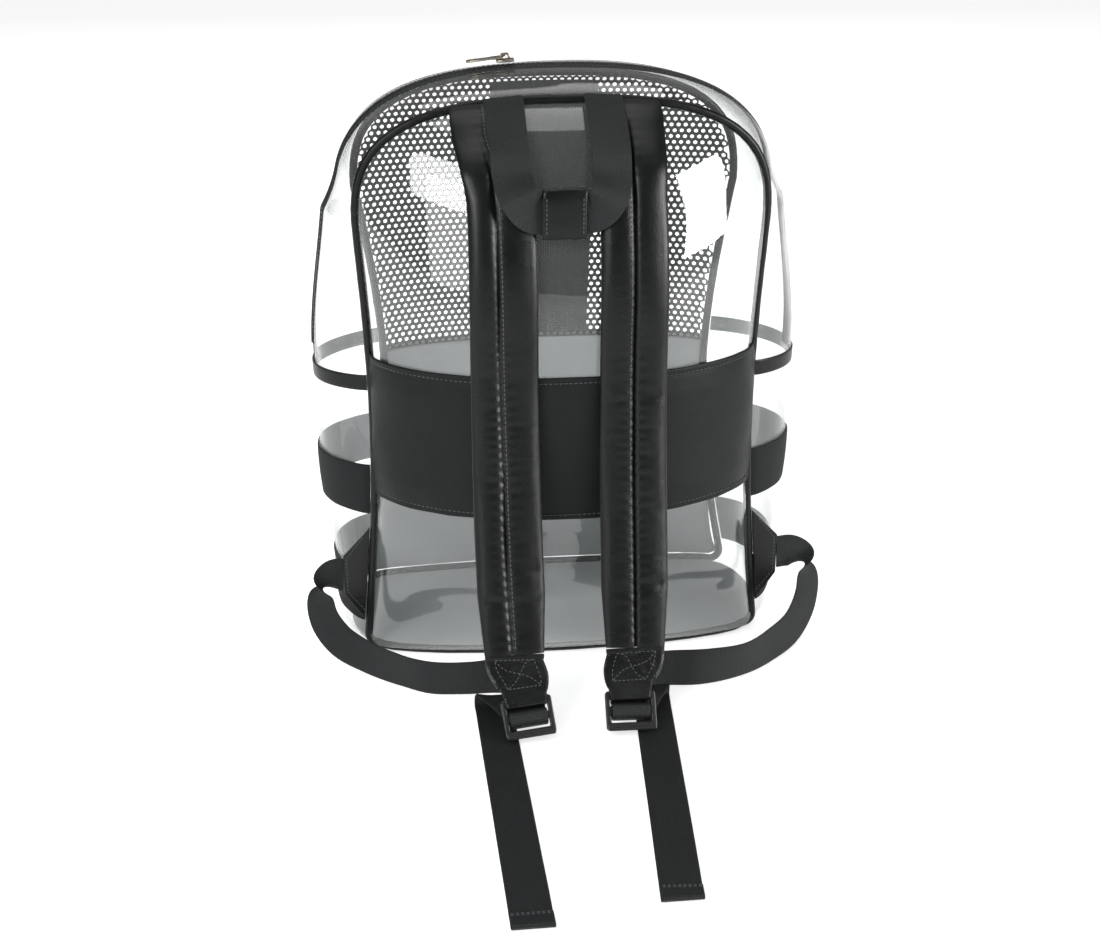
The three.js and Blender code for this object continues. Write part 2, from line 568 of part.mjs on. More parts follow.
// Leather tabs at the back seam that the lower webbing is sewn into
const tabLow = 26;
const tabHigh = 102;
const tabTipLow = 48;
const tabTipHigh = 80;
const tabReach = 15.5;       // how far the tip stands out past half the bag's width
const tabThickness = 3.2;
const tabInset = 0.4;        // how far the tab's inner face lies behind the seam
function anchorTab(hand, sign) {
  const tip = bagWidth / 2 + tabReach;
  const heights = evenly(tabLow, tabHigh, 4);
  const inner = heights.map((z) => [halfWidth('back', z) + pipingRadius + 1.3 * gap, z]);
  const outline = [...inner, [tip, tabTipHigh], [tip, tabTipLow]].map(([x, z]) => new THREE.Vector2(sign * x, z));
  const geometry = new THREE.ExtrudeGeometry(new THREE.Shape(outline), { depth: tabThickness, bevelEnabled: false });
  geometry.rotateX(Math.PI / 2);
  geometry.translate(0, backSeamY + tabInset, 0);
  const mesh = new THREE.Mesh(geometry, glossLeather);
  mesh.name = `anchor_tab_${hand}`;
  return mesh;
}
add(anchorTab('left', -1));
add(anchorTab('right', 1));

// Hanging loop: two flat legs from the top seam, turned on edge through the leather grip
const legShift = { left: 0.27, right: 0.53 };
const legLift = 2.6;         // how far the legs stand off the straps
const padThick = (z) => strapThickness * fromTable([...strapRows.top].reverse().map(([h, thick]) => [h, thick]), z / bagHeight);
function legRow(hand, x, z) {
  return V3(x, strapBack(strapMiddle(hand, z), z) - padThick(z) - legLift - webbingThickness / 2, z);
}
const gripHeight = 0.85 * bagHeight;
const gripX = (strapMiddle('left', gripHeight) + strapMiddle('right', gripHeight)) / 2 - 3.5;
const gripMiddle = legRow('left', gripX, gripHeight).add(V3(0, -0.5, 0));
// Each side's rows: height share of the bag, share of the webbing's width from the leg's middle towards the
// grip, and how far across turns upright. The first ones lie on the strap, the others run out to the grip.
const legRows = [[0.933, 0, 0], [0.907, 0.02, 0.06]];
const headLift = 1;
function legHead(hand, x, sign, head) {
  const row = headRow(hand, head);
  row.at.addScaledVector(row.across, (x - row.at.x) / row.across.x);
  row.at.addScaledVector(row.out, row.thickness / 2 + headLift + webbingThickness / 2);
  return { at: row.at, across: row.across.multiplyScalar(sign) };
}
const turnRows = [[0.029, 0.15, 0.5, -2.6], [0.007, 0.4, 2, -1.6]];
function handleWebbing() {
  const rows = [];
  const size = { width: webbingWidth, thickness: webbingThickness };
  const side = (hand, sign) => {
    const legX = strapMiddle(hand, gripHeight) + sign * legShift[hand] * webbingWidth;
    const list = strapHead.map((head) => legHead(hand, legX, sign, head));
    list.push(...legRows.map(([h, shift, lift]) => ({ at: legRow(hand, legX + sign * shift * webbingWidth, h * bagHeight),
      across: V3(sign, 0, lift) })));
    for (const [h, shift, lift, y] of turnRows) {
      const at = V3(legX + sign * shift * webbingWidth, gripMiddle.y + y, gripHeight + h * bagHeight);
      list.push({ at, across: V3(sign, 0, lift) });
    }
    const end = gripLength / 2 + 2;
    list.push({ at: gripMiddle.clone().add(V3(-sign * end, -0.4, 0)), across: upright });
    return list;
  };
  rows.push(...side('left', 1), { at: gripMiddle, across: upright }, ...side('right', -1).reverse());
  return ribbon('handle_webbing', rows.map((r) => ({ ...r, ...size })), evenly(0, 1, 42), webbing);
}
add(handleWebbing());
function handleGrip() {
  const ring = (high, deep) => {
    const r = deep / 2, y = high / 2 - r;
    return evenly(0, 9, 9).map((i) => {
      const turn = i < 5 ? (i * Math.PI) / 4 : ((i - 1) * Math.PI) / 4;
      return new THREE.Vector2(r * Math.cos(turn), r * Math.sin(turn) + (i < 5 ? y : -y));
    });
  };
  const inHigh = webbingWidth + 2 * gap + 3, inDeep = 6;
  const shape = new THREE.Shape(ring(inHigh + 2 * gripWall, inDeep + 2 * gripWall));
  shape.holes.push(new THREE.Path(ring(inHigh, inDeep)));
  const geometry = new THREE.ExtrudeGeometry(shape, { depth: gripLength, bevelEnabled: false });
  const mesh = new THREE.Mesh(geometry, leather);
  // local x is the ring's depth, local y its height, local z its length
  const basis = new THREE.Matrix4().makeBasis(V3(0, 1, 0), V3(0, 0, 1), V3(1, 0, 0));
  mesh.applyMatrix4(basis.setPosition(gripMiddle.clone().add(V3(-gripLength / 2, 0, 0))));
  mesh.name = 'handle_grip';
  return mesh;
}
add(handleGrip());

// Zip slider on the coil, near the crest, with a bridge for the pull
const sliderStation = -0.15;
const sliderSeat = gussetPlace(sliderStation, coilShare);
const sliderUp = gussetPlace(sliderStation + 0.02, coilShare).sub(gussetPlace(sliderStation - 0.02, coilShare)).normalize();
const sliderAcross = V3(0, 1, 0);
const sliderOut = sliderUp.clone().cross(sliderAcross).normalize();
const sliderFloor = bandWall / 2 + gap + coilHeight + gap;
const bridgeHeight = 4.2, bridgeWall = 1.4, bodyWall = 2;
function placedOnSlider(geometry, name, material) {
  const mesh = new THREE.Mesh(geometry, material);
  const basis = new THREE.Matrix4().makeBasis(sliderUp, sliderOut, sliderUp.clone().cross(sliderOut));
  mesh.applyMatrix4(basis.setPosition(sliderSeat));
  mesh.name = name;
  return mesh;
}
function zipSlider() {
  // side view: a plate with a bridge over a tunnel, as wide as the slider
  const h0 = sliderFloor + 0.3, h1 = h0 + bodyWall, h2 = h1 + bridgeHeight;
  const s = new THREE.Shape([[-sliderLength / 2, h0], [sliderLength / 2, h0], [sliderLength / 2, h1], [4, h1], [2.6, h2],
    [-2.6, h2], [-4, h1], [-sliderLength / 2, h1]].map(([x, y]) => new THREE.Vector2(x, y)));
  s.holes.push(new THREE.Path([[-2.5, h1 + 0.2], [-1.5, h2 - bridgeWall], [1.5, h2 - bridgeWall], [2.5, h1 + 0.2]].map(([x, y]) =>
    new THREE.Vector2(x, y))));
  const geometry = new THREE.ExtrudeGeometry(s, { depth: 3.2, bevelEnabled: false });
  geometry.translate(0, 0, -1.6);
  return geometry;
}
add(placedOnSlider(zipSlider(), 'zip_slider', metal));
// The pull: a flat tab whose eye goes round the bridge; it lies down to the left of the slider
const hingeSlack = 0.5;
const hingeHeight = sliderFloor + 0.3 + bodyWall + bridgeHeight - bridgeWall - hingeSlack - pullThickness / 2;
const pullDroop = 0.05;
function zipPull() {
  const half = pullWidth / 2;
  const s = new THREE.Shape();
  s.moveTo(0.5, -half + 1.4);
  s.lineTo(0.5, half - 1.4);
  s.lineTo(-1.2, half);
  s.lineTo(-pullLength + 3, half);
  s.lineTo(-pullLength, half - 2.4);
  s.lineTo(-pullLength, -half + 2.4);
  s.lineTo(-pullLength + 3, -half);
  s.lineTo(-1.2, -half);
  s.closePath();
  const eye = 1.6 + gap;
  s.holes.push(new THREE.Path([[-6.5, -eye], [-6.5, eye], [-0.8, eye], [-0.8, -eye]].map(([x, y]) =>
    new THREE.Vector2(x, y))));
  const geometry = new THREE.ExtrudeGeometry(s, { depth: pullThickness, bevelEnabled: false });
  geometry.translate(0, 0, -pullThickness / 2);
  geometry.rotateX(-Math.PI / 2);
  geometry.rotateZ(pullDroop);
  geometry.translate(0, hingeHeight, 0);
  return geometry;
}
add(placedOnSlider(zipPull(), 'zip_pull', metal));

export default group;
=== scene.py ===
import math
import bpy
import numpy as np
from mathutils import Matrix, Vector


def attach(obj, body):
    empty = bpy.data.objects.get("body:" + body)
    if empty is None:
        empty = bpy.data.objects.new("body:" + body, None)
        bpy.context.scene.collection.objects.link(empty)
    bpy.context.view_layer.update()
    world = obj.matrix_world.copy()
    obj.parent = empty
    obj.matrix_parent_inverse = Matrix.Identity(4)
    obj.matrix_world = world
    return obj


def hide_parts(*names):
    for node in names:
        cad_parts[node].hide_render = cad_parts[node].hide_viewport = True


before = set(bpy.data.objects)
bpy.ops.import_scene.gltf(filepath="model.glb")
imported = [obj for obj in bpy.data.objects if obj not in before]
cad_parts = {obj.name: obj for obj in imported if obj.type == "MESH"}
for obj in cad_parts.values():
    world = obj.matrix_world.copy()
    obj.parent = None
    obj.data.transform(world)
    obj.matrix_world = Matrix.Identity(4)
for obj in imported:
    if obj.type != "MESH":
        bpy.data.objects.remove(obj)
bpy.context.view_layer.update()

# All lengths are in millimetres and become metres in makeObject.
metre = 0.001
rng = np.random.default_rng(11)
scene = bpy.context.scene

# camera: where the photo was taken from
azimuth, pitch, distance = math.radians(6.65), math.radians(22.9), 1350.0
aim = np.array([-2.9, 0.0, 112.7])
forward = np.array([math.sin(azimuth) * math.cos(pitch), math.cos(azimuth) * math.cos(pitch), -math.sin(pitch)])
cameraData = bpy.data.cameras.new("camera")
cameraData.sensor_width = 36.0
cameraData.lens = 55.64
cameraData.clip_start = 0.01
camera = bpy.data.objects.new("camera", cameraData)
camera.location = Vector((aim - forward * distance) * metre)
camera.rotation_euler = Vector(forward).to_track_quat("-Z", "Y").to_euler()
scene.collection.objects.link(camera)
scene.camera = camera

# the bag's sizes, as in the CAD
bag = {"height": 420.0, "width": 305.0, "depth": 120.0, "lean": 8.0, "rise": 84.0, "power": 2.8, "corner": 10.0,
       "backWaist": 0.059, "frontWaist": 0.135, "taper": 0.042, "backBelly": 68.0, "frontBelly": 26.0,
       "backBow": 22.0, "frontBow": 10.0, "bulge": 43.0, "piping": 3.2, "gap": 0.35, "sheet": 1.2, "leather": 1.6,
       "band": 1.2}
straightTop = bag["height"] - bag["rise"]
panelTurn = 255.0
panelInset = bag["piping"] + 1.3 * bag["gap"] + bag["leather"] / 2
insetFlat, insetDeep = panelInset * 0.5, panelInset * 0.866
panelBottom = bag["piping"] + insetFlat
gussetInset = bag["piping"] + 2.2 * bag["gap"] + bag["sheet"] / 2
coilShare = 0.47
tapeFrom, tapeTo = coilShare - 0.095, coilShare + 0.095
shareGap = bag["gap"] / bag["depth"]


# value at each place, eased between the rows (place, value)
def smoothTable(rows, at):
    places, values = np.array(rows, float).T
    at = np.clip(at, places[0], places[-1])
    i = np.clip(np.searchsorted(places, at, side="right") - 1, 0, len(places) - 2)
    t = (at - places[i]) / (places[i + 1] - places[i])
    t = t * t * (3 - 2 * t)
    return values[i] * (1 - t) + values[i + 1] * t


# half width of a seam: straight taper and a sine waist
def halfWidth(which, z):
    waist = bag[which + "Waist"]
    up = np.clip(z / straightTop, 0, 1)
    taper = bag["taper"] * np.clip(z, 0, bag["height"]) / bag["height"]
    return bag["width"] / 2 * (1 - waist * np.sin(np.pi * up) - taper)


# depth of a seam: the back one upright, the front one leaning in by a share of the height
def seamDepth(which, z):
    return np.full_like(z,
                        -bag["depth"] / 2) if which == "back" else bag["depth"] / 2 - bag["lean"] * z / bag["height"]


# superellipse radius at a polar angle
def archRadius(polar):
    n = bag["power"]
    return (np.abs(np.sin(polar)) ** n + np.abs(np.cos(polar)) ** n) ** (-1 / n)


# seam point at station q: 0 crest, 1 end of the arch, 2 floor
def seamPoint(which, q):
    q = np.asarray(q, float)
    a, side = np.abs(q), np.sign(q)
    polar = np.minimum(a, 1) * np.pi / 2
    r = archRadius(polar)
    zArch = straightTop + bag["rise"] * r * np.cos(polar)
    xArch = halfWidth(which, np.full_like(q, straightTop)) * r * np.sin(polar)
    p = bag["piping"]
    zSide = p + (2 - np.clip(a, 1, 2)) * (straightTop - p)
    c = bag["corner"]
    low = np.clip(c - (zSide - p), 0, c)
    xSide = halfWidth(which, zSide) - (c - np.sqrt(c * c - low * low))
    onArch = a <= 1
    z = np.where(onArch, zArch, zSide)
    return np.stack([side * np.where(onArch, xArch, xSide), seamDepth(which, z), z], -1)


# station of a height on the straight side: 2 at the piping, 1 where the arch starts
def stationOf(z):
    return 2 - (z - bag["piping"]) / (straightTop - bag["piping"])


# outward direction of the seam: its slope between two near stations, turned a quarter
def seamOutward(q):
    q = np.clip(q, -1.96, 1.96)
    along = seamPoint("back", q + 0.01) - seamPoint("back", q - 0.01)
    out = np.stack([-along[..., 2], np.zeros_like(along[..., 0]), along[..., 0]], -1)
    return out / np.linalg.norm(out, axis=-1, keepdims=True)


# how far a panel stands out across its width: 1 in the middle, 0 at the seams
def roundness(u):
    return (1 - np.clip(np.abs(u), 0, 1) ** 2.1) ** 0.6


fullness = {"back": [(0, bag["backBow"] / bag["backBelly"]), (0.32, 0.83), (0.57, 1), (1, 1)],
            "front": [(0, bag["frontBow"] / bag["frontBelly"]), (0.4, 0.9), (0.6, 1), (1, 1)]}


# panel point: u across, v the height up to panelTurn and one more from there to the arch
def panelPoint(which, u, v):
    u, v = np.broadcast_arrays(np.asarray(u, float), np.asarray(v, float))
    archShare = (1 - np.clip(np.abs(u), 0, 1) ** bag["power"]) ** (1 / bag["power"])
    top = straightTop + (bag["rise"] - insetFlat) * archShare
    up = np.clip(v - panelTurn, 0, 1)
    z = np.where(v <= panelTurn, v, panelTurn + up * (top - panelTurn))
    half = halfWidth(which, z) - insetFlat
    radius = bag["corner"] - insetFlat
    over = np.clip(np.abs(u * half) - (half - radius), 0, radius)
    drop = radius - np.sqrt(radius * radius - over * over)
    share = np.clip((v - panelBottom) / (panelTurn - panelBottom), 0, 1)
    z = np.where((v <= panelTurn) & (share < 0.2), (panelBottom + drop) * (1 - share / 0.2) + v * share / 0.2, z)
    full = np.where(v <= panelTurn, smoothTable(fullness[which], np.clip(v / panelTurn, 0, 1)),
                    np.maximum(0, 1 - up ** 2.2) ** 0.62)
    outward = -1 if which == "back" else 1
    y = seamDepth(which, z) + outward * (insetDeep + bag[which + "Belly"] * roundness(u) * full)
    return np.stack([u * half, y, z], -1)


bulgeShares = [(0, 0.28), (0.5, 0.24), (0.8, 0.25), (1.35, 1), (1.55, 1), (2, 0.45)]


# gusset point: q along the seams, s from the back seam to the front seam
def gussetPoint(q, s):
    q, s = np.broadcast_arrays(np.asarray(q, float), np.asarray(s, float))
    out = seamOutward(q)
    back = seamPoint("back", q) + out * gussetInset * 0.6
    front = seamPoint("front", q) + out * gussetInset * 0.6
    back[..., 1] += gussetInset * 0.8
    front[..., 1] -= gussetInset * 0.8
    full = np.maximum(0, 1 - np.abs(2 * s - 1) ** 2.3) ** 0.8
    s = s[..., None]
    return back * (1 - s) + front * s + out * (bag["bulge"] * smoothTable(bulgeShares, np.abs(q)) * full)[..., None]




# points and faces in millimetres to a mesh in metres; faces are turned round if the volume sum is negative
def makeObject(name, points, faces, material, uv=None, body="bag", sharp=35.0, materials=()):
    points = np.ascontiguousarray(points, float).reshape(-1, 3)
    faces = [np.asarray(f, int) for f in (faces if isinstance(faces, list) else [faces])]
    volume = 0.0
    for f in faces:
        a = points[f[:, 0]]
        for k in range(1, f.shape[1] - 1):
            volume += np.einsum("ij,ij->", a, np.cross(points[f[:, k]], points[f[:, k + 1]]))
    if volume < 0:
        faces = [f[:, ::-1] for f in faces]
    loops = np.concatenate([f.ravel() for f in faces])
    starts, at = [], 0
    for f in faces:
        starts.append(at + np.arange(len(f)) * f.shape[1])
        at += f.size
    mesh = bpy.data.meshes.new(name)
    mesh.vertices.add(len(points))
    mesh.vertices.foreach_set("co", (points * metre).ravel())
    mesh.loops.add(len(loops))
    mesh.loops.foreach_set("vertex_index", loops)
    starts = np.concatenate(starts)
    mesh.polygons.add(len(starts))
    mesh.polygons.foreach_set("loop_start", starts)
    if uv is not None:
        layer = mesh.uv_layers.new(name="UVMap")
        layer.data.foreach_set("uv", (np.asarray(uv, float).reshape(-1, 2)[loops]).ravel())
    mesh.polygons.foreach_set("use_smooth", np.ones(len(starts), bool))
    mesh.materials.append(material)
    for extra in materials:
        mesh.materials.append(extra)
    mesh.update(calc_edges=True)
    mesh.validate()
    if sharp:
        mesh.set_sharp_from_angle(angle=math.radians(sharp))
    obj = bpy.data.objects.new(name, mesh)
    scene.collection.objects.link(obj)
    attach(obj, body)
    return obj


# quads of two grids, one over the other, and the wall round their common rim
def gridFaces(rows, columns):
    index = np.arange(rows * columns).reshape(rows, columns)
    a, b, c, d = index[:-1, :-1].ravel(), index[:-1, 1:].ravel(), index[1:, 1:].ravel(), index[1:, :-1].ravel()
    n = rows * columns
    ring = np.concatenate([index[0, :-1], index[:-1, -1], index[-1, :0:-1], index[:0:-1, 0]])
    after = np.roll(ring, -1)
    return np.concatenate([np.stack([a, b, c, d], 1), np.stack([a, d, c, b], 1) + n,
                           np.stack([ring, ring + n, after + n, after], 1)])


# quads between neighbouring rings: point k of ring i to k + 1, and to ring i + 1
def tubeFaces(rings, sides, closed):
    i = np.arange(rings if closed else rings - 1)[:, None]
    k = np.arange(sides)[None, :]
    j, m = (i + 1) % rings, (k + 1) % sides
    return np.stack([(i * sides + k), (i * sides + m), (j * sides + m), (j * sides + k)], -1).reshape(-1, 4)


# normals of a grid of points, by central differences, turned to face outward
def gridNormals(grid, outward):
    across, along = np.gradient(grid, axis=1), np.gradient(grid, axis=0)
    n = np.cross(across, along)
    n /= np.linalg.norm(n, axis=-1, keepdims=True) + 1e-12
    middle = n[n.shape[0] // 2, n.shape[1] // 2]
    return n if np.dot(middle, outward) > 0 else -n


# running length along one axis of a grid: the sum of the steps so far
def lengths(grid, axis):
    step = np.linalg.norm(np.diff(grid, axis=axis), axis=-1)
    pad = [(0, 0), (0, 0)]
    pad[axis] = (1, 0)
    return np.cumsum(np.pad(step, pad), axis=axis)


# even spacing with three finer lines within edge of each end
def edged(low, high, step, edge=0.0):
    count = max(2, int(round(abs(high - low) / step)))
    inner = np.linspace(low, high, count + 1)
    if not edge:
        return inner
    sign = np.sign(high - low)
    fine = np.array([0.12, 0.4, 1.0]) * edge * sign
    inner = inner[(np.abs(inner - low) > 1.5 * edge) & (np.abs(inner - high) > 1.5 * edge)]
    return np.concatenate([[low], low + fine, inner, (high - fine)[::-1], [high]])


# a closed shell over place(u, v): points + normal * (low or high + lift), its edge rounded like a quarter circle
def skin(name, place, us, vs, low, high, material, outward, lift=None, edge=1.0, both=True, inside=None):
    grid = place(us[None, :], vs[:, None])
    normals = gridNormals(grid, outward)
    x, y = lengths(grid, 1), lengths(grid, 0)
    border = np.minimum(np.minimum(x, x[:, -1:] - x), np.minimum(y, y[-1:, :] - y))
    fade = np.sqrt(1 - (1 - np.clip(border / edge, 0, 1)) ** 2) if edge else np.ones_like(border)
    thick = high - low
    out = low + thick * (0.35 + 0.65 * fade)
    inner = low + thick * 0.3 * (1 - fade)
    extra = lift(x, y, us[None, :] + 0 * grid[..., 0],
                 vs[:, None] + 0 * grid[..., 0]) if lift is not None else 0 * border
    front = grid + normals * (out + extra)[..., None]
    back = grid + normals * (inner + (extra if both else 0))[..., None]
    uv = np.stack([x - x[:, -1:] / 2, y], -1) / 10
    points = np.concatenate([front.reshape(-1, 3), back.reshape(-1, 3)])
    faces = gridFaces(*grid.shape[:2])
    obj = makeObject(name, points, faces, material, np.concatenate([uv.reshape(-1, 2)] * 2),
                     materials=[inside] if inside else ())
    if inside:
        cells = (grid.shape[0] - 1) * (grid.shape[1] - 1)
        which = np.zeros(len(faces), np.int32)
        which[cells:2 * cells] = 1
        obj.data.polygons.foreach_set("material_index", which)
    return obj, front, normals


# curves: centripetal Catmull-Rom through the rows, as the CAD's ribbons
def splinePoints(points, t):
    points = np.asarray(points, float)
    n = len(points)
    k = np.clip(t * (n - 1), 0, n - 1 - 1e-6)
    i = k.astype(int)
    w = (k - i)[:, None]
    padded = np.concatenate([[2 * points[0] - points[1]], points, [2 * points[-1] - points[-2]]])
    p0, p1, p2, p3 = padded[i], padded[i + 1], padded[i + 2], padded[i + 3]
    d0, d1, d2 = [np.sum((b - a) ** 2, 1) ** 0.25 for a, b in ((p0, p1), (p1, p2), (p2, p3))]
    d1 = np.where(d1 < 1e-4, 1.0, d1)
    d0 = np.where(d0 < 1e-4, d1, d0)
    d2 = np.where(d2 < 1e-4, d1, d2)
    d0, d1, d2 = d0[:, None], d1[:, None], d2[:, None]
    t1 = ((p1 - p0) / d0 - (p2 - p0) / (d0 + d1) + (p2 - p1) / d1) * d1
    t2 = ((p2 - p1) / d1 - (p3 - p1) / (d1 + d2) + (p3 - p2) / d2) * d1
    return p1 + t1 * w + (-3 * p1 + 3 * p2 - 2 * t1 - t2) * w ** 2 + (2 * p1 - 2 * p2 + t1 + t2) * w ** 3


# vector over its own length
def unit(v):
    return v / (np.linalg.norm(v, axis=-1, keepdims=True) + 1e-12)


# frames along rows (x, y, z, across x, y, z, width, thickness), every step millimetres
def spine(rows, step, start=0.0, stop=1.0):
    rows = np.asarray(rows, float)
    dense = np.linspace(0, 1, 3000)
    path = splinePoints(rows[:, :3], dense)
    run = np.concatenate([[0], np.cumsum(np.linalg.norm(np.diff(path, axis=0), axis=1))])
    count = max(3, int(round(run[-1] * (stop - start) / step)))
    t = np.interp(np.linspace(run[-1] * start, run[-1] * stop, count + 1), run, dense)
    middle = splinePoints(rows[:, :3], t)
    along = unit(np.gradient(middle, axis=0))
    across = splinePoints(unit(rows[:, 3:6]), t)
    across = unit(across - along * np.sum(across * along, 1, keepdims=True))
    out = unit(np.cross(along, across))
    k = t * (len(rows) - 1)
    width = np.interp(k, np.arange(len(rows)), rows[:, 6])
    thick = np.interp(k, np.arange(len(rows)), rows[:, 7])
    return {"middle": middle, "along": along, "across": across, "out": out, "width": width, "thick": thick,
            "run": np.interp(t, dense, run)}


# a closed strip: profile rows are (share of the half width, front share, back share of the half thickness)
def ribbon(name, line, material, profile, lift=None):
    w, front, back = np.array(profile, float).T
    half, deep = line["width"][:, None] / 2, line["thick"][:, None] / 2
    x = half * w
    run = line["run"][:, None] + 0 * x
    extra = lift(x, run, w[None, :] + 0 * x) if lift is not None else 0 * x
    base = line["middle"][:, None, :] + line["across"][:, None, :] * x[..., None]
    top = base + line["out"][:, None, :] * (deep * front + extra)[..., None]
    under = base - line["out"][:, None, :] * (deep * back)[..., None]
    uv = np.stack([x, run], -1).reshape(-1, 2) / 10
    points = np.concatenate([top.reshape(-1, 3), under.reshape(-1, 3)])
    obj = makeObject(name, points, gridFaces(*x.shape), material, np.concatenate([uv, uv]))
    return obj, top


# a strip's cross section: flat with rounded edges
def flatProfile(lines=9, edge=0.06):
    w = np.concatenate([[-1, -1 + edge * 0.25, -1 + edge], np.linspace(-0.85, 0.85, lines),
                        [1 - edge, 1 - edge * 0.25, 1]])
    high = np.sqrt(1 - (1 - np.clip((1 - np.abs(w)) / edge, 0, 1)) ** 2) * 0.8 + 0.2
    return np.stack([w, high, high], 1)


# rings of radius r round a path: middle + r cos(turn) * first + r sin(turn) * second
def tube(name, path, radius, sides, material, closed=False, reference=(0, 1, 0)):
    path = np.asarray(path, float)
    if closed:
        along = unit(np.roll(path, -1, 0) - np.roll(path, 1, 0))
    else:
        along = unit(np.gradient(path, axis=0))
    first = unit(np.cross(np.broadcast_to(reference, path.shape), along))
    second = np.cross(along, first)
    turn = np.linspace(0, 2 * np.pi, sides, endpoint=False)
    r = np.broadcast_to(radius, (len(path),))[:, None]
    ring = path[:, None, :] + (first[:, None, :] * (r * np.cos(turn))[..., None]
                               + second[:, None, :] * (r * np.sin(turn))[..., None])
    run = np.concatenate([[0], np.cumsum(np.linalg.norm(np.diff(path, axis=0), axis=1))])
    uv = np.stack([turn[None, :] * r + 0 * run[:, None], run[:, None] + 0 * turn[None, :]], -1).reshape(-1, 2) / 10
    faces = [tubeFaces(len(path), sides, closed)]
    if not closed:
        faces.append(np.stack([np.arange(sides)[::-1], np.arange(sides) + (len(path) - 1) * sides]))
    return makeObject(name, ring.reshape(-1, 3), faces, material, uv)


# thread stitches: rounded, tapered bars that dip into the cloth at both ends
def sewn(name, starts, ends, normals, radius, material, slot=None):
    sides = 6
    starts, ends, normals = (np.asarray(a, float).reshape(-1, 3) for a in (starts, ends, normals))
    along = ends - starts
    side = unit(np.cross(normals, along))
    t = np.array([0, 0.1, 0.3, 0.7, 0.9, 1.0])
    swell = radius * np.array([0.4, 0.85, 1, 1, 0.85, 0.4])
    rise = radius * np.array([-0.9, 0.0, 0.45, 0.45, 0.0, -0.9])
    turn = np.linspace(0, 2 * np.pi, sides, endpoint=False)
    ring = (starts[:, None, None, :] + along[:, None, None, :] * t[None, :, None, None]
            + normals[:, None, None, :] * (rise[:, None] + swell[:, None] * np.sin(turn))[None, ..., None]
            + side[:, None, None, :] * (swell[:, None] * np.cos(turn))[None, ..., None])
    n, per = len(starts), len(t) * sides
    base = (np.arange(n) * per)[:, None, None]
    quads = (tubeFaces(len(t), sides, False)[None] + base).reshape(-1, 4)
    caps = np.stack([np.arange(sides)[::-1], np.arange(sides) + (len(t) - 1) * sides])
    caps = (caps[None] + base).reshape(-1, sides)
    return makeObject(name, ring.reshape(-1, 3), [quads, caps], material, sharp=0)


# start, end and normal of each stitch along a polyline
def stitchRun(path, normals, pitch=3.6, share=0.74, off=0.0):
    path, normals = np.asarray(path, float), np.asarray(normals, float)
    run = np.concatenate([[0], np.cumsum(np.linalg.norm(np.diff(path, axis=0), axis=1))])
    count = max(1, int(run[-1] / pitch))
    first = np.arange(count) * run[-1] / count
    pick = lambda a, s: np.stack([np.interp(s, run, a[:, k]) for k in range(3)], -1)
    mid = unit(pick(normals, first + pitch * share / 2))
    lift = mid * off
    return pick(path, first) + lift, pick(path, first + pitch * share) + lift, mid


# the starts, ends and normals of several runs in one list each
def joined(runs):
    return [np.concatenate([r[k] for r in runs]) for k in range(3)]


# a cloth piece: hides the node that it stands for; the piece, the flat size that it was cut to, how it is held and
# the other settings are not used
def cloth(piece, node, flat, held="stretched", **more):
    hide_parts(node)


print("helpers ready")

# materials


# a shader node with its settings, and its sockets by name or, as i0, i1, by number
def put(tree, kind, settings=None, **inputs):
    node = tree.nodes.new("ShaderNode" + kind)
    for key, value in (settings or {}).items():
        setattr(node, key, value)
    for key, value in inputs.items():
        numbered = key[0] == "i" and key[1:].isdigit()
        socket = node.inputs[int(key[1:])] if numbered else node.inputs[key.replace("_", " ")]
        if isinstance(value, bpy.types.NodeSocket):
            tree.links.new(value, socket)
        else:
            socket.default_value = value
    return node


# an empty node group with named outputs, and inputs with their values
def group(name, outputs, inputs=()):
    tree = bpy.data.node_groups.new(name, "ShaderNodeTree")
    for label, kind in outputs:
        tree.interface.new_socket(label, in_out="OUTPUT", socket_type=kind)
    for label, kind, value in inputs:
        tree.interface.new_socket(label, in_out="INPUT", socket_type=kind).default_value = value
    return tree, tree.nodes.new("NodeGroupInput"), tree.nodes.new("NodeGroupOutput")


# small cells with creases between them over broad folds, and a mask of worn, shinier patches
def leatherGrain():
    tree, given, result = group("leather grain", [("Height", "NodeSocketFloat"), ("Wear", "NodeSocketFloat")],
                                [("Cells", "NodeSocketFloat", 900.0), ("Folds", "NodeSocketFloat", 0.5)])
    place = put(tree, "TexCoord").outputs["Object"]
    warp = put(tree, "TexNoise", Vector=place, Scale=180.0, Detail=2.0)
    bent = put(tree, "VectorMath", {"operation": "MULTIPLY_ADD"}, i0=warp.outputs["Color"],
               i1=(0.0016, 0.0016, 0.0016), i2=place)
    cells = put(tree, "TexVoronoi", {"feature": "DISTANCE_TO_EDGE"}, Vector=bent.outputs[0],
                Scale=given.outputs["Cells"])
    crease = put(tree, "MapRange", {"interpolation_type": "SMOOTHSTEP"}, Value=cells.outputs["Distance"], i1=0.0,
                 i2=0.28)
    fold = put(tree, "TexNoise", Vector=place, Scale=95.0, Detail=5.0, Roughness=0.6)
    both = put(tree, "Math", {"operation": "MULTIPLY_ADD"}, i0=fold.outputs["Fac"], i1=given.outputs["Folds"],
               i2=crease.outputs["Result"])
    wear = put(tree, "TexNoise", Vector=place, Scale=28.0, Detail=4.0)
    tree.links.new(both.outputs[0], result.inputs["Height"])
    tree.links.new(wear.outputs["Fac"], result.inputs["Wear"])
    return tree


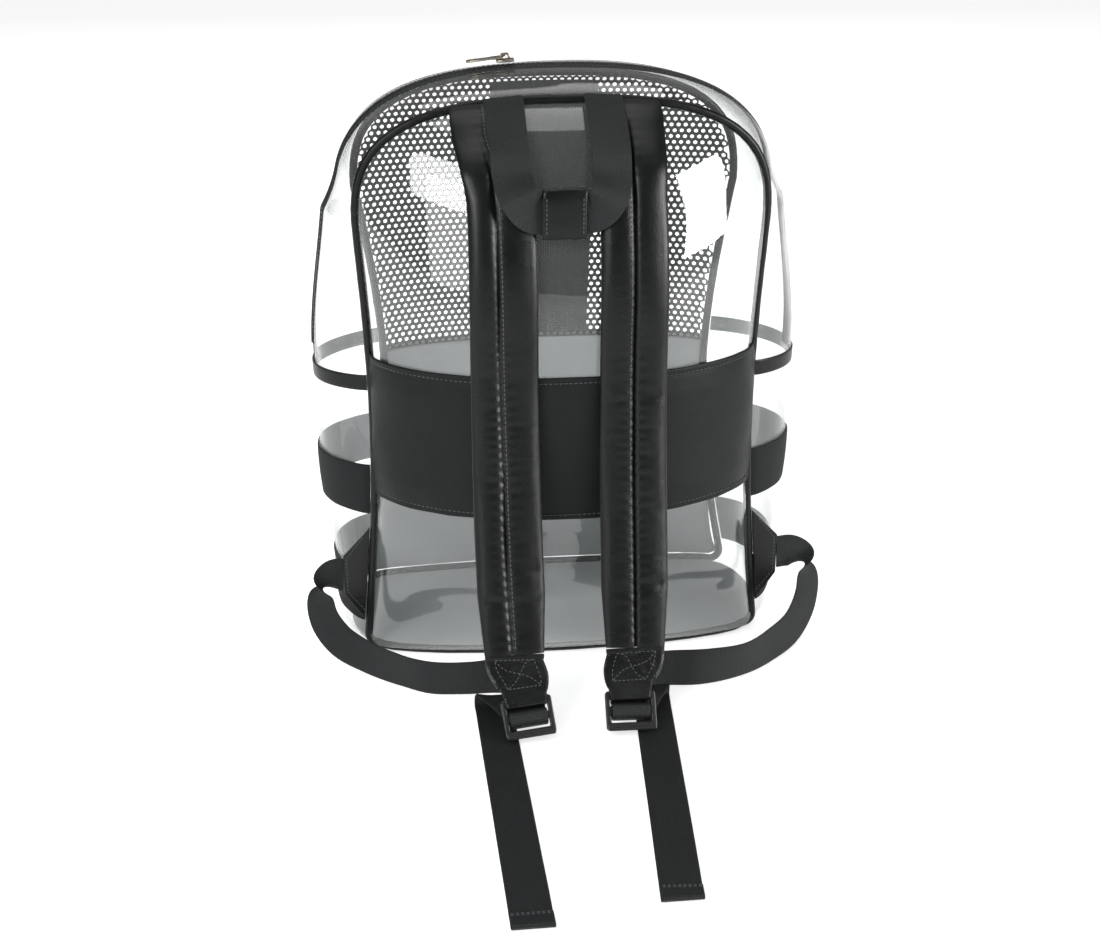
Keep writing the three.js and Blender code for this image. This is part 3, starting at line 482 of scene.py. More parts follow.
# cross ribs and lengthwise yarns from the strip's own lengths in centimetres
def ribWeave():
    tree, given, result = group("rib weave", [("Height", "NodeSocketFloat"), ("Shade", "NodeSocketFloat")],
                                [("Rib", "NodeSocketFloat", 2.6), ("Yarn", "NodeSocketFloat", 3.6)])
    place = put(tree, "TexCoord").outputs["UV"]
    ribs = put(tree, "TexWave", {"wave_type": "BANDS", "bands_direction": "Y"}, Vector=place,
               Scale=given.outputs["Rib"], Distortion=0.35, Detail=1.0)
    yarns = put(tree, "TexWave", {"wave_type": "BANDS", "bands_direction": "X"}, Vector=place,
                Scale=given.outputs["Yarn"], Distortion=0.2, Detail=0.0)
    height = put(tree, "Math", {"operation": "MULTIPLY_ADD"}, i0=ribs.outputs["Fac"], i1=0.65,
                 i2=yarns.outputs["Fac"])
    fuzz = put(tree, "TexNoise", Vector=place, Scale=34.0, Detail=3.0)
    shade = put(tree, "Math", {"operation": "MULTIPLY_ADD"}, i0=height.outputs[0], i1=0.4, i2=fuzz.outputs["Fac"])
    tree.links.new(height.outputs[0], result.inputs["Height"])
    tree.links.new(shade.outputs[0], result.inputs["Shade"])
    return tree


grainGroup, ribGroup = leatherGrain(), ribWeave()


# a material with no nodes yet
def emptyMaterial(name):
    material = bpy.data.materials.new(name)
    material.use_nodes = True
    material.node_tree.nodes.clear()
    return material, material.node_tree


# the shader linked to the material's surface
def finished(material, shader):
    tree = material.node_tree
    tree.links.new(shader.outputs[0], tree.nodes.new("ShaderNodeOutputMaterial").inputs["Surface"])
    return material


# colour = mix(dark, light, mask), roughness = rough - or + roughSpread by the same mask, height as bump
def surfaceMaterial(name, dark, light, rough, groupTree, mask, depth, values, roughSpread=0.12, **shader):
    material, tree = emptyMaterial(name)
    effect = tree.nodes.new("ShaderNodeGroup")
    effect.node_tree = groupTree
    for key, value in values.items():
        effect.inputs[key].default_value = value
    ramp = put(tree, "MapRange", Value=effect.outputs[mask], i1=0.3, i2=0.8)
    tint = put(tree, "Mix", {"data_type": "RGBA"})
    tree.links.new(ramp.outputs["Result"], tint.inputs[0])
    tint.inputs[6].default_value, tint.inputs[7].default_value = (*dark, 1), (*light, 1)
    spread = put(tree, "MapRange", Value=effect.outputs[mask], i1=0.25, i2=0.8, i3=rough - roughSpread,
                 i4=rough + roughSpread)
    bump = put(tree, "Bump", Height=effect.outputs["Height"], Distance=depth, Strength=1.0)
    body = put(tree, "BsdfPrincipled", Roughness=spread.outputs["Result"], Normal=bump.outputs["Normal"])
    tree.links.new(tint.outputs[2], body.inputs["Base Color"])
    for key, value in shader.items():
        body.inputs[key.replace("_", " ")].default_value = value
    return finished(material, body)


# clear sheet: passes light straight through, a little haze, and a mirror-like reflection by Fresnel
def clearMaterial(name, haze, tint, rough=0.035):
    material, tree = emptyMaterial(name)
    place = put(tree, "TexCoord").outputs["Object"]
    swell = put(tree, "TexNoise", Vector=place, Scale=14.0, Detail=2.0)
    bump = put(tree, "Bump", Height=swell.outputs["Fac"], Distance=0.0012, Strength=0.5)
    through = put(tree, "BsdfTransparent", Color=(*tint, 1))
    veil = put(tree, "BsdfPrincipled", Base_Color=(0.78, 0.80, 0.80, 1), Roughness=0.35)
    cloudy = put(tree, "MixShader", i0=haze, i1=through.outputs[0], i2=veil.outputs[0])
    glance = put(tree, "BsdfPrincipled", Base_Color=(1, 1, 1, 1), Metallic=1.0, Roughness=rough,
                 Normal=bump.outputs["Normal"])
    side = put(tree, "NewGeometry").outputs["Backfacing"]
    index = put(tree, "MapRange", Value=side, To_Min=1.48, To_Max=1 / 1.48)
    amount = put(tree, "Fresnel", IOR=index.outputs["Result"], Normal=bump.outputs["Normal"])
    mixed = put(tree, "MixShader", i0=amount.outputs[0], i1=cloudy.outputs[0], i2=glance.outputs[0])
    return finished(material, mixed)


# noise bump over one even colour
def plainMaterial(name, colour, rough, metallic=0.0, **shader):
    material, tree = emptyMaterial(name)
    place = put(tree, "TexCoord").outputs["Object"]
    grain = put(tree, "TexNoise", Vector=place, Scale=700.0, Detail=3.0)
    bump = put(tree, "Bump", Height=grain.outputs["Fac"], Distance=0.00006, Strength=0.5)
    body = put(tree, "BsdfPrincipled", Base_Color=(*colour, 1), Roughness=rough, Metallic=metallic,
               Normal=bump.outputs["Normal"])
    for key, value in shader.items():
        body.inputs[key.replace("_", " ")].default_value = value
    return finished(material, body)


# leather, vinyl or smooth cloth: cells and folds per metre, depth of the bump in metres
def grained(name, dark, light, rough, depth, cells, folds, **more):
    return surfaceMaterial(name, dark, light, rough, grainGroup, "Wear", depth, {"Cells": cells, "Folds": folds},
                           **more)


# ribbed tape: ribs and yarns per centimetre
def woven(name, dark, light, rough, depth, rib, yarn, **more):
    return surfaceMaterial(name, dark, light, rough, ribGroup, "Shade", depth, {"Rib": rib, "Yarn": yarn}, **more)


leather = grained("leather", (0.004, 0.0048, 0.005), (0.008, 0.009, 0.0095), 0.29, 0.00004, 820.0, 0.9,
                  roughSpread=0.04, Specular_IOR_Level=0.25)
lumbarLeather = grained("lumbar leather", (0.0085, 0.010, 0.0105), (0.014, 0.016, 0.0165), 0.46, 0.00006, 700.0,
                        1.2, Specular_IOR_Level=0.15)
glossLeather = grained("gloss leather", (0.005, 0.0055, 0.006), (0.009, 0.010, 0.0105), 0.27, 0.00006, 620.0, 1.4,
                       Specular_IOR_Level=0.3)
pipingVinyl = grained("piping vinyl", (0.006, 0.0065, 0.007), (0.010, 0.011, 0.0115), 0.33, 0.00003, 1100.0, 0.6,
                      Specular_IOR_Level=0.22)
webbingCloth = woven("webbing cloth", (0.005, 0.006, 0.0065), (0.017, 0.020, 0.021), 0.50, 0.00028, 2.6, 3.6,
                     Specular_IOR_Level=0.3)
elasticCloth = woven("elastic cloth", (0.007, 0.008, 0.0085), (0.017, 0.019, 0.020), 0.62, 0.0002, 4.2, 5.0,
                     Specular_IOR_Level=0.25)
bandCloth = woven("band cloth", (0.006, 0.007, 0.0075), (0.022, 0.025, 0.026), 0.58, 0.0004, 1.7, 2.3,
                  Specular_IOR_Level=0.25)
meshThread = grained("mesh thread", (0.009, 0.010, 0.0105), (0.020, 0.022, 0.023), 0.6, 0.0001, 1500.0, 0.6,
                     Specular_IOR_Level=0.25)
greyCloth = grained("grey cloth", (0.43, 0.455, 0.455), (0.50, 0.525, 0.525), 0.5, 0.00012, 1300.0, 0.5)
# painted light: a light grey on the inner faces of the black bands, standing in for the light that falls on their
# insides
paintedLitInside = grained("band inside painted lit", (0.34, 0.36, 0.36), (0.46, 0.48, 0.48), 0.45, 0.0002, 900.0, 1.0)
tapeCloth = woven("zip tape", (0.007, 0.008, 0.0085), (0.018, 0.020, 0.021), 0.6, 0.0002, 4.6, 3.2)
clearSheet = clearMaterial("clear sheet", 0.035, (0.975, 0.985, 0.985))
clearGusset = clearMaterial("clear gusset", 0.02, (0.985, 0.99, 0.99))
buckleResin = plainMaterial("buckle resin", (0.011, 0.012, 0.0125), 0.36)
gunMetal = plainMaterial("gun metal", (0.30, 0.27, 0.22), 0.24, 1.0)
darkThread = plainMaterial("dark thread", (0.016, 0.018, 0.019), 0.45, Specular_IOR_Level=0.25)
greyThread = plainMaterial("grey thread", (0.11, 0.115, 0.12), 0.5, Specular_IOR_Level=0.25)
coilNylon = plainMaterial("coil nylon", (0.018, 0.020, 0.021), 0.28)
print("materials ready")

# panels
back = np.array([0.0, -1.0, 0.0])
front = np.array([0.0, 1.0, 0.0])
upward = np.array([0.0, 0.0, 1.0])


# columns evenly round the arch
def evenColumns(count):
    polar = np.linspace(-np.pi / 2, np.pi / 2, count + 1)
    return np.clip(archRadius(polar) * np.sin(polar), -1, 1)


# rows in millimetres up to panelTurn and shares above it, closing up towards the arch
def panelRows(low, high, step):
    if high <= panelTurn:
        return edged(low, high, step, 1.0)
    lower = np.arange(low, panelTurn - step / 2, step) if low < panelTurn else np.array([])
    t = np.linspace(0, 1, int(165 / step) + 6)
    return np.concatenate([lower, panelTurn + 1 - (1 - t) ** 1.7])


backPlace = lambda u, v: panelPoint("back", u, v)
frontPlace = lambda u, v: panelPoint("front", u, v)


# point and outward normal of a surface at single places, off it by some millimetres
def surfaceAt(place, u, v, off, outward):
    e = 1e-3
    du = place(u + e, v) - place(u - e, v)
    dv = place(u, v + e) - place(u, v - e)
    n = unit(np.cross(du, dv))
    n = n * np.where(n @ outward < 0, -1, 1)[:, None]
    return place(u, v) + n * off, n


# long shallow waves of a hanging clear sheet, none at its seams
def sheetWaves(x, y, u, v):
    rim = np.clip(np.minimum(x, x[:, -1:] - x) / 25, 0, 1) * np.clip((y[-1:, :] - y) / 30, 0,
                                                                     1) * np.clip(y / 12, 0, 1)
    waves = 0.5 * np.sin(x / 23 + 1.3 * np.sin(y / 47)) + 0.45 * np.sin(y / 37 + x / 61)
    return 0.8 * waves * rim * np.where(np.abs(v - 188) < 62, 0.0, 1.0)


panel = skin("back_sheet", backPlace, evenColumns(150), panelRows(panelBottom - 1.7, 256, 3.0), -0.5, 0.5,
             clearSheet, back,
             lift=sheetWaves, edge=1.2)[0]
cloth(panel, "back_panel", (0.345, 0.470), area=0.137)

# lumbar band: leather over the panel, a shallow trough along each row of stitches
lumbar = {"low": 134.0, "high": 242.0, "off": 0.95, "inset": 4.2}


def lumbarLift(x, y, u, v):
    edge = np.minimum(y, y[-1:, :] - y)
    trough = -0.45 * np.exp(-((edge - lumbar["inset"]) / 1.3) ** 2)
    puff = 0.9 * np.clip((edge - 6) / 12, 0, 1)
    folds = 0.22 * np.sin(x / 5.3 + 2 * np.sin(y / 11)) * np.exp(-edge / 9) + 0.3 * np.sin(x / 31 + y / 17)
    return trough + puff + folds


band = skin("lumbar_leather", backPlace, evenColumns(220), edged(lumbar["low"], lumbar["high"], 1.6, 1.2),
            lumbar["off"], lumbar["off"] + bag["leather"], lumbarLeather, back, lift=lumbarLift, edge=1.2,
            both=False)[0]
cloth(band, "lumbar_band", (0.342, 0.108), rests_on=[panel.name])
runs = []
for z in (lumbar["low"] + lumbar["inset"], lumbar["high"] - lumbar["inset"]):
    u = np.linspace(-0.975, 0.975, 700)
    p, n = surfaceAt(backPlace, u, np.full_like(u, z), lumbar["off"] + bag["leather"] - 0.35, back)
    runs.append(stitchRun(p, n, 3.5, 0.72))
sewn("lumbar_stitches", *joined(runs), 0.36, greyThread, slot="leather")
print("back ready")


# front: point of the panel at (x, z), with z turned into the share of the way up to the arch
def onFront(x, z):
    half = halfWidth("front", z) - insetFlat
    u = np.clip(x / half, -1, 1)
    top = straightTop + (bag["rise"] - insetFlat) * (1 - np.abs(u) ** bag["power"]) ** (1 / bag["power"])
    v = np.where(z <= panelTurn, z, panelTurn + np.clip((z - panelTurn) / np.maximum(top - panelTurn, 1e-6), 0, 1))
    return frontPlace(u, v)


# true where (x, z) lies within the arch: |u| below 1 and z below the superellipse top
def insideFront(x, z):
    half = halfWidth("front", z) - insetFlat
    u = np.abs(x) / half
    top = straightTop + (bag["rise"] - insetFlat) * (1 - np.clip(u, 0, 1) ** bag["power"]) ** (1 / bag["power"])
    return (u < 0.999) & (z < top - 0.15)


net = {"pitch": 5.4, "hole": 0.56, "low": 200.5, "wall": 0.9}


# centres on a hexagonal grid, six corners each, clipped to the arch; holes are the corners drawn in to their centre
def netSheet():
    a = net["pitch"]
    i, j = np.meshgrid(np.arange(-30, 31), np.arange(0, 50))
    cx = (i * a + (j % 2) * a / 2).ravel()
    cz = (net["low"] + a * 0.3 + j * a * 0.866).ravel()
    keep = insideFront(cx * 1.006, cz + 0.8)
    cx, cz = cx[keep], cz[keep]
    turn = np.radians(30 + 60 * np.arange(6))
    r = a / math.sqrt(3)
    ox, oz = cx[:, None] + r * np.cos(turn), cz[:, None] + r * np.sin(turn)
    key = np.round(np.stack([ox.ravel(), oz.ravel()], 1) / (a / 12)).astype(int)
    unique, first, owner = np.unique(key, axis=0, return_index=True, return_inverse=True)
    vx, vz = ox.ravel()[first], np.maximum(oz.ravel()[first], net["low"])
    low, high = np.zeros_like(vx), np.ones_like(vx)
    for _ in range(24):
        mid = (low + high) / 2
        good = insideFront(vx * mid, 250 + (vz - 250) * mid)
        low, high = np.where(good, mid, low), np.where(good, high, mid)
    whole = insideFront(vx, vz)
    scale = np.where(whole, 1.0, low)
    vx, vz = vx * scale, np.maximum(250 + (vz - 250) * scale, net["low"])
    corner = owner.reshape(-1, 6)
    hx = cx[:, None] + net["hole"] * (vx[corner] - cx[:, None])
    hz = cz[:, None] + net["hole"] * (vz[corner] - cz[:, None])
    # bars: the outer corners lie on the sheet and the holes' corners a little lower, so each bar is rounded
    flat = np.concatenate([np.stack([vx, vz], 1), np.stack([hx.ravel(), hz.ravel()], 1)])
    place = onFront(flat[:, 0], flat[:, 1])
    e = 0.05
    dx = onFront(flat[:, 0] + e, flat[:, 1]) - onFront(flat[:, 0] - e, flat[:, 1])
    dz = onFront(flat[:, 0], flat[:, 1] + e) - onFront(flat[:, 0], flat[:, 1] - e)
    normal = unit(np.cross(dz, dx))
    normal[normal[:, 1] < 0.05] = (0, 1, 0)
    n, cells = len(flat), len(cx)
    hole = len(vx) + np.arange(cells * 6).reshape(-1, 6)
    nextCorner, nextHole = np.roll(corner, -1, 1), np.roll(hole, -1, 1)
    rise = np.concatenate([np.full(len(vx), net["wall"] / 2), np.full(cells * 6, net["wall"] * 0.28)])[:, None]
    points = np.concatenate([place + normal * rise, place - normal * rise])
    top = np.stack([corner, nextCorner, nextHole, hole], -1).reshape(-1, 4)
    faces = [top, top[:, ::-1] + n, np.stack([hole, nextHole, nextHole + n, hole + n], -1).reshape(-1, 4)]
    edge = np.stack([corner, nextCorner], -1).reshape(-1, 2)
    code = np.sort(edge, 1)
    _, inverse, counts = np.unique(code, axis=0, return_inverse=True, return_counts=True)
    rim = edge[counts[inverse.ravel()] == 1]
    faces.append(np.stack([rim[:, 1], rim[:, 0], rim[:, 0] + n, rim[:, 1] + n], 1))
    uv = np.concatenate([flat, flat]) / 10
    return makeObject("front_net", points, faces, meshThread, uv, sharp=60)


netPiece = netSheet()
cloth(netPiece, "front_mesh", (0.300, 0.225), area=0.036)

lower = skin("front_lower_cloth", frontPlace, evenColumns(120), edged(panelBottom - 1.7, 199.7, 3.0, 1.2), -0.8,
             0.8, greyCloth,
             front, edge=1.2, lift=lambda x, y, u, v: 0.3 * np.sin(x / 29 + y / 43))[0]
cloth(lower, "front_lower_panel", (0.300, 0.195), area=0.054)
cross = skin("front_cross_tape", frontPlace, evenColumns(120), edged(196.0, 204.0, 1.2, 1.0), 1.15, 2.35,
             greyCloth, front)[0]
cloth(cross, "front_cross_band", (0.286, 0.010), area=0.0024, rests_on=[lower.name])
centerHalf = 40.0 / (float(halfWidth("front", np.array(300.0))) - insetFlat)
center = skin("front_center_tape", frontPlace, np.linspace(-centerHalf, centerHalf, 34),
              np.concatenate([np.linspace(204.5, 254, 18),
                              255 + np.linspace(0, 0.975, 70)]), -2.15, -0.95, bandCloth, front)[0]
cloth(center, "front_center_band", (0.083, 0.210), rests_on=["front_net"])
runs = []
for z in (197.6, 202.4):
    u = np.linspace(-0.98, 0.98, 500)
    p, n = surfaceAt(frontPlace, u, np.full_like(u, z), 2.3, front)
    runs.append(stitchRun(p, n, 3.6, 0.7))
sewn("front_stitches", *joined(runs), 0.34, darkThread, slot="webbing")
print("front ready")


# piping: a round cord in vinyl, very slightly uneven, closed along the bottom
def seamLoop(which):
    c, p = bag["corner"], bag["piping"]
    theta = np.linspace(0, np.pi / 2, 9)
    cornerQ = stationOf(p + c * (1 - np.cos(theta)))
    side = np.concatenate([cornerQ[:-1], np.linspace(cornerQ[-1], 1, 90)[:-1]])
    q = np.concatenate([-side, np.linspace(-1, 1, 240), side[::-1]])
    path = seamPoint(which, q)
    bow = -bag["backBow"] if which == "back" else bag["frontBow"]
    flat = float(halfWidth(which, np.array(p))) - c
    x = flat * np.cos(np.linspace(0, np.pi, 90)[1:-1])
    y = float(seamDepth(which, np.array([0.0]))[0]) + bow * roundness(x / flat)
    return np.concatenate([path, np.stack([x, y, np.full_like(x, p)], 1)])


for which in ("back", "front"):
    path = seamLoop(which)
    count = len(path)
    uneven = 3.12 + 0.06 * np.sin(np.arange(count) * 0.9) + 0.05 * np.sin(np.arange(count) * 0.37)
    cord = tube(which + "_cord", path, uneven, 14, pipingVinyl, closed=True)
    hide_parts(which + "_piping")

# gusset: two clear strips with the zip between them, clear sides below
stripLow, bandTop = stationOf(217.35), stationOf(223.0)


# stations evenly from one end of the zip over the crest to the other
def archStations(count):
    return np.linspace(-stripLow, stripLow, count)


# the gusset with its two parameters in the order that skin takes
def gussetPlace(s, q):
    return gussetPoint(q, s)


# shallow sine waves along the arch, none at the strip's long edges
def gussetWaves(x, y, u, v):
    rim = np.clip(np.minimum(x, x[:, -1:] - x) / 10, 0, 1)
    return 0.45 * np.sin(y / 29 + x / 15) * rim


for name, low, high, node, flat in (
        ("gusset_back_sheet", 0, tapeFrom - shareGap, "gusset_strip_back", (0.045, 0.71)),
        ("gusset_front_sheet", tapeTo + shareGap, 1, "gusset_strip_front", (0.052, 0.71))):
    strip = skin(name, gussetPlace, np.linspace(low, high, 22), archStations(280), -0.5, 0.5, clearGusset, upward,
                 lift=gussetWaves, edge=1.0)[0]
    cloth(strip, node, flat)
tape = skin("zip_cloth", gussetPlace, np.linspace(tapeFrom, tapeTo, 15), archStations(340), -0.6, 0.6, tapeCloth,
            upward)[0]
cloth(tape, "zipper_tape", (0.021, 0.68))

# zip teeth: bars across the coil's line, every 1.55 mm, with a bead at each end
coilEnd = bandTop - 12 / (straightTop - bag["piping"])
q = np.linspace(-coilEnd, coilEnd, 4000)
line = gussetPoint(q, np.full_like(q, coilShare))
run = np.concatenate([[0], np.cumsum(np.linalg.norm(np.diff(line, axis=0), axis=1))])
tooth = {"pitch": 1.55, "half": 2.6, "radius": 0.62, "off": 1.25}
qTooth = np.interp(np.arange(0, run[-1], tooth["pitch"]), run, q)
halfShare = tooth["half"] / 112.0
middle = gussetPoint(qTooth, np.full_like(qTooth, coilShare))
flip = seamOutward(qTooth)
ends = [gussetPoint(qTooth,
                    np.full_like(qTooth, coilShare + sign * halfShare)) + flip * tooth["off"] for sign in (-1, 1)]
lean = unit(np.gradient(middle, axis=0)) * 0.35
teeth = sewn("zip_teeth", ends[0] - lean, ends[1] + lean, flip, tooth["radius"], coilNylon, slot="zip_cloth")
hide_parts("zipper_coil")
runs = []
for s in (tapeFrom + 0.02, tapeTo - 0.02):
    p = gussetPoint(q, np.full_like(q, s)) + seamOutward(q) * 0.62
    runs.append(stitchRun(p, seamOutward(q), 3.6, 0.7))
sewn("zip_stitches", *joined(runs), 0.33, darkThread, slot="zip_cloth")

for hand, sign in (("left", -1), ("right", 1)):
    outward = np.array([float(sign), 0.0, 0.0])
    place = lambda s, z, sign=sign: gussetPoint(sign * stationOf(z), s)
    side = skin(f"side_sheet_{hand}", place, np.linspace(0, 1, 60), edged(3.25, 216.6, 4.0, 1.0), -0.5, 0.5,
                clearGusset, outward, edge=1.0)[0]
    cloth(side, f"side_panel_{hand}", (0.146, 0.213))
    # inner face of the zip end tape in the painted lit grey
    end = skin(f"zip_end_tape_{hand}", place, np.linspace(0, 1, 60), edged(211.0, 223.0, 1.5, 1.0), 0.95, 2.15,
               pipingVinyl, outward, inside=paintedLitInside)[0]
    cloth(end, f"zip_end_band_{hand}", (0.158, 0.012), rests_on=[side.name])
    for label, low, high in (("upper", 112.0, 152.0), ("lower", 22.0, 62.0)):
        # inner faces of the side elastics in the painted lit grey
        loop = skin(f"side_{label}_elastic_{hand}", place, np.linspace(0, 1, 90), edged(low, high, 1.5, 1.2),
                    0.95, 2.15,
                    elasticCloth, outward, inside=paintedLitInside,
                    lift=lambda x, y, u, v: 0.12 * np.sin(x / 4) * np.exp(-np.minimum(y, y[-1:, :] - y) / 3))[0]
        cloth(loop, f"side_band_{label}_{hand}", (0.146, 0.040), rests_on=[side.name])
print("gusset ready")


# a flat plate with holes, rounded on its edges, set in place by three axes
def plate(name, outline, holes, low, high, bevel, axes, at, material, body="bag"):
    curve = bpy.data.curves.new(name, "CURVE")
    curve.dimensions = "2D"
    curve.fill_mode = "BOTH"
    curve.extrude = (high - low) / 2 - bevel
    curve.bevel_depth = bevel
    curve.bevel_resolution = 3
    curve.offset = -bevel
    for loop in [outline, *holes]:
        spline = curve.splines.new("POLY")
        spline.points.add(len(loop) - 1)
        spline.points.foreach_set("co", np.column_stack([loop, np.zeros(len(loop)), np.ones(len(loop))]).ravel())
        spline.use_cyclic_u = True
    holder = bpy.data.objects.new(name + "_line", curve)
    scene.collection.objects.link(holder)
    bpy.context.view_layer.update()
    made = bpy.data.meshes.new_from_object(holder.evaluated_get(bpy.context.evaluated_depsgraph_get()))
    points = np.empty(len(made.vertices) * 3)
    made.vertices.foreach_get("co", points)
    points = points.reshape(-1, 3)
    points[:, 2] += (low + high) / 2
    placed = points @ np.array(axes, float) + np.array(at, float)
    keys, inverse = np.unique(np.round(placed, 4), axis=0, return_inverse=True)
    sizes = {}
    for polygon in made.polygons:
        loop = inverse.ravel()[list(polygon.vertices)]
        if len(set(loop.tolist())) == len(loop):
            sizes.setdefault(len(loop), []).append(loop)
    faces = [np.array(same) for same in sizes.values()]
    bpy.data.objects.remove(holder)
    bpy.data.curves.remove(curve)
    uv = keys[:, [0, 2]] / 10
    return makeObject(name, keys, faces, material, uv, body, sharp=50)


# outline of a box whose corners are quarter circles of radius r
def roundedBox(u0, u1, w0, w1, r, n=6):
    turn = np.linspace(0, np.pi / 2, n)
    corners = [(u1 - r, w1 - r, 0), (u0 + r, w1 - r, 1), (u0 + r, w0 + r, 2), (u1 - r, w0 + r, 3)]
    return np.concatenate([np.stack([x + r * np.cos(turn + k * np.pi / 2), y + r * np.sin(turn + k * np.pi / 2)], 1)
                           for x, y, k in corners])


# base: follows both bowed seams and the gusset's lower edge
def baseOutline():
    loop = []
    inset = bag["piping"] + 1.2 * bag["gap"]
    for which, bow, sign in (("back", -bag["backBow"], 1), ("front", bag["frontBow"], -1)):
        flat = float(halfWidth(which, np.array(bag["piping"]))) - bag["corner"]
        x = -sign * flat * np.cos(np.linspace(0, np.pi, 40))
        y = float(seamDepth(which, np.array([0.0]))[0]) + bow * roundness(x / flat) + sign * inset
        loop.append(np.stack([x, y], 1))
        s = np.linspace(0.05, 0.95, 24)
        edge = gussetPoint(np.full_like(s, sign * 2.0), s if sign > 0 else 1 - s)
        loop.append(edge[:, :2])
    return np.concatenate(loop)


base = plate("base_cloth", baseOutline(), [], 0.0, 2.6, 0.5, np.eye(3), (0, 0, 0), greyCloth)
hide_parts("base_panel")
print("base ready")

# shoulder straps
strapRows = {
    "left": [(-55.3, -65.3, 418.4, 0.99, 0, 0.1, 49.8, 3), (-55.3, -72.7, 415.8, 0.99, -0.03, 0.1, 50.8, 3),
             (-55.4, -80.5, 410.9, 0.99, -0.05, 0.1, 50.8, 3.6), (-55.6, -89.5, 403, 0.99, -0.08, 0.09, 49.4, 5),
             (-52.9, -107.8, 386.4, 1, 0, 0, 47.9, 7.2), (-50.3, -119.5, 365.4, 1, 0, 0, 46.1, 10),
             (-50, -130.7, 327.6, 1, 0, 0, 46.5, 10), (-50.1, -135.5, 294, 1, 0, 0, 47, 10),
             (-50.2, -136.8, 260.4, 1, 0, 0, 47, 10), (-50.3, -138.7, 235.2, 1, 0, 0, 47, 10),
             (-50.4, -147, 180.9, 1, 0, 0, 47.9, 10), (-50.5, -157.1, 135.7, 1, 0, 0, 47.9, 10),
             (-50.1, -169.4, 94.1, 1, 0, 0, 47.9, 10), (-49.5, -183.1, 54.3, 1, 0, 0, 42.3, 8)],
    "right": [(40.7, -65.4, 419.6, 1, 0, -0.06, 49.8, 3), (40.7, -73, 417, 1, 0.02, -0.06, 50.8, 3),
              (40.7, -81.1, 412.1, 1, 0.04, -0.06, 50.8, 3.6), (40.9, -90.5, 404.1, 1, 0.06, -0.05, 49.4, 5),
              (40.3, -108.5, 386.4, 1, 0, 0, 47.9, 7.2), (40, -120.1, 365.4, 1, 0, 0, 46.1, 10),
              (39.9, -131.4, 327.6, 1, 0, 0, 46.5, 10), (39.7, -136.3, 294, 1, 0, 0, 47, 10),
              (39.4, -137.6, 260.4, 1, 0, 0, 47, 10), (39.2, -139.6, 235.2, 1, 0, 0, 47, 10),
              (38.7, -147.3, 181, 1, 0, 0, 47.9, 10), (38.5, -156.9, 135.8, 1, 0, 0, 47.9, 10),
              (37.9, -168.7, 94.3, 1, 0, 0, 47.9, 10), (37, -182, 54.5, 1, 0, 0, 42.3, 8)], }
endRows = {
    "left": [(-49.5, -183.4, 53.7, 1, 0, 0, 42.3, 3.2), (-49.4, -185.3, 48, 1, 0, 0, 41.4, 3.2),
             (-44.5, -192.8, 37.8, 0.99, 0.06, 0.08, 37.6, 2.56), (-43.5, -197.7, 29.6, 0.99, 0.06, 0.08, 31, 1.6),
             (-43, -200.8, 25.7, 0.99, 0.06, 0.08, 29.1, 1.6), (-42.8, -202, 24.1, 0.99, 0.06, 0.08, 28.7, 1.6),
             (-42.8, -201.7, 23, 0.99, 0.06, 0.08, 28.7, 1.6), (-42.8, -200.1, 21.5, 0.99, 0.06, 0.08, 28.7, 1.6),
             (-42.8, -198.3, 20.2, 0.99, 0.06, 0.08, 28.7, 1.6), (-42.8, -197.1, 20, 0.99, 0.06, 0.08, 28.7, 1.6),
             (-43, -195.8, 21.5, 0.99, 0.06, 0.08, 28.7, 1.6), (-43.7, -191.7, 26.5, 0.99, 0.06, 0.08, 28.7, 1.6)],
    "right": [(37, -182.2, 53.8, 1, 0, 0, 42.3, 3.2), (36.9, -184.1, 48.2, 1, 0, 0, 41.4, 3.2),
              (31.5, -191.8, 37.9, 1, -0.01, -0.02, 37.6, 2.56), (31.3, -196.6, 29.6, 1, -0.01, -0.02, 31, 1.6),
              (31.2, -199.8, 25.7, 1, -0.01, -0.02, 29.1, 1.6), (31.2, -201, 24.2, 1, -0.01, -0.02, 28.7, 1.6),
              (31.2, -200.7, 23, 1, -0.01, -0.02, 28.7, 1.6), (31.2, -199, 21.6, 1, -0.01, -0.02, 28.7, 1.6),
              (31.2, -197.3, 20.2, 1, -0.01, -0.02, 28.7, 1.6), (31.2, -196.1, 20.1, 1, -0.01, -0.02, 28.7, 1.6),
              (31.2, -194.7, 21.6, 1, -0.01, -0.02, 28.7, 1.6), (31.3, -190.7, 26.6, 1, -0.01, -0.02, 28.7, 1.6)], }
strap = {"leftGroove": (-0.2, -0.08), "rightGroove": (0.0, 0.0), "creases": 46}


# cross section: a round pillow either side of a sewn groove, t from the groove to the edge; shares of half thickness
def padHeight(w, groove):
    t = np.where(w < groove, (groove - w) / (groove + 1), (w - groove) / (1 - groove))
    return np.maximum(0.34 * (1 - t) ** 3 + 0.97 * np.sqrt(np.clip(4 * t * (1 - t), 0, 1)) * (1 - 0.12 * t), 0.08)


# point and normal on a ribbon's top face at (x across, run along)
def onRibbon(line, top, w, x, run):
    rows = np.interp(run, line["run"], np.arange(len(line["run"])))
    half = np.interp(rows, np.arange(len(line["run"])), line["width"]) / 2
    columns = np.interp(np.clip(x / half, -1, 1), w, np.arange(len(w)))
    i, j = np.minimum(rows.astype(int), top.shape[0] - 2), np.minimum(columns.astype(int), top.shape[1] - 2)
    a, b = (rows - i)[:, None], (columns - j)[:, None]
    mix = lambda g: (g[i, j] * (1 - a) * (1 - b) + g[i + 1, j] * a * (1 - b)
                     + g[i, j + 1] * (1 - a) * b + g[i + 1, j + 1] * a * b)
    normals = gridNormals(top, line["out"][len(line["out"]) // 2])
    return mix(top), unit(mix(normals))


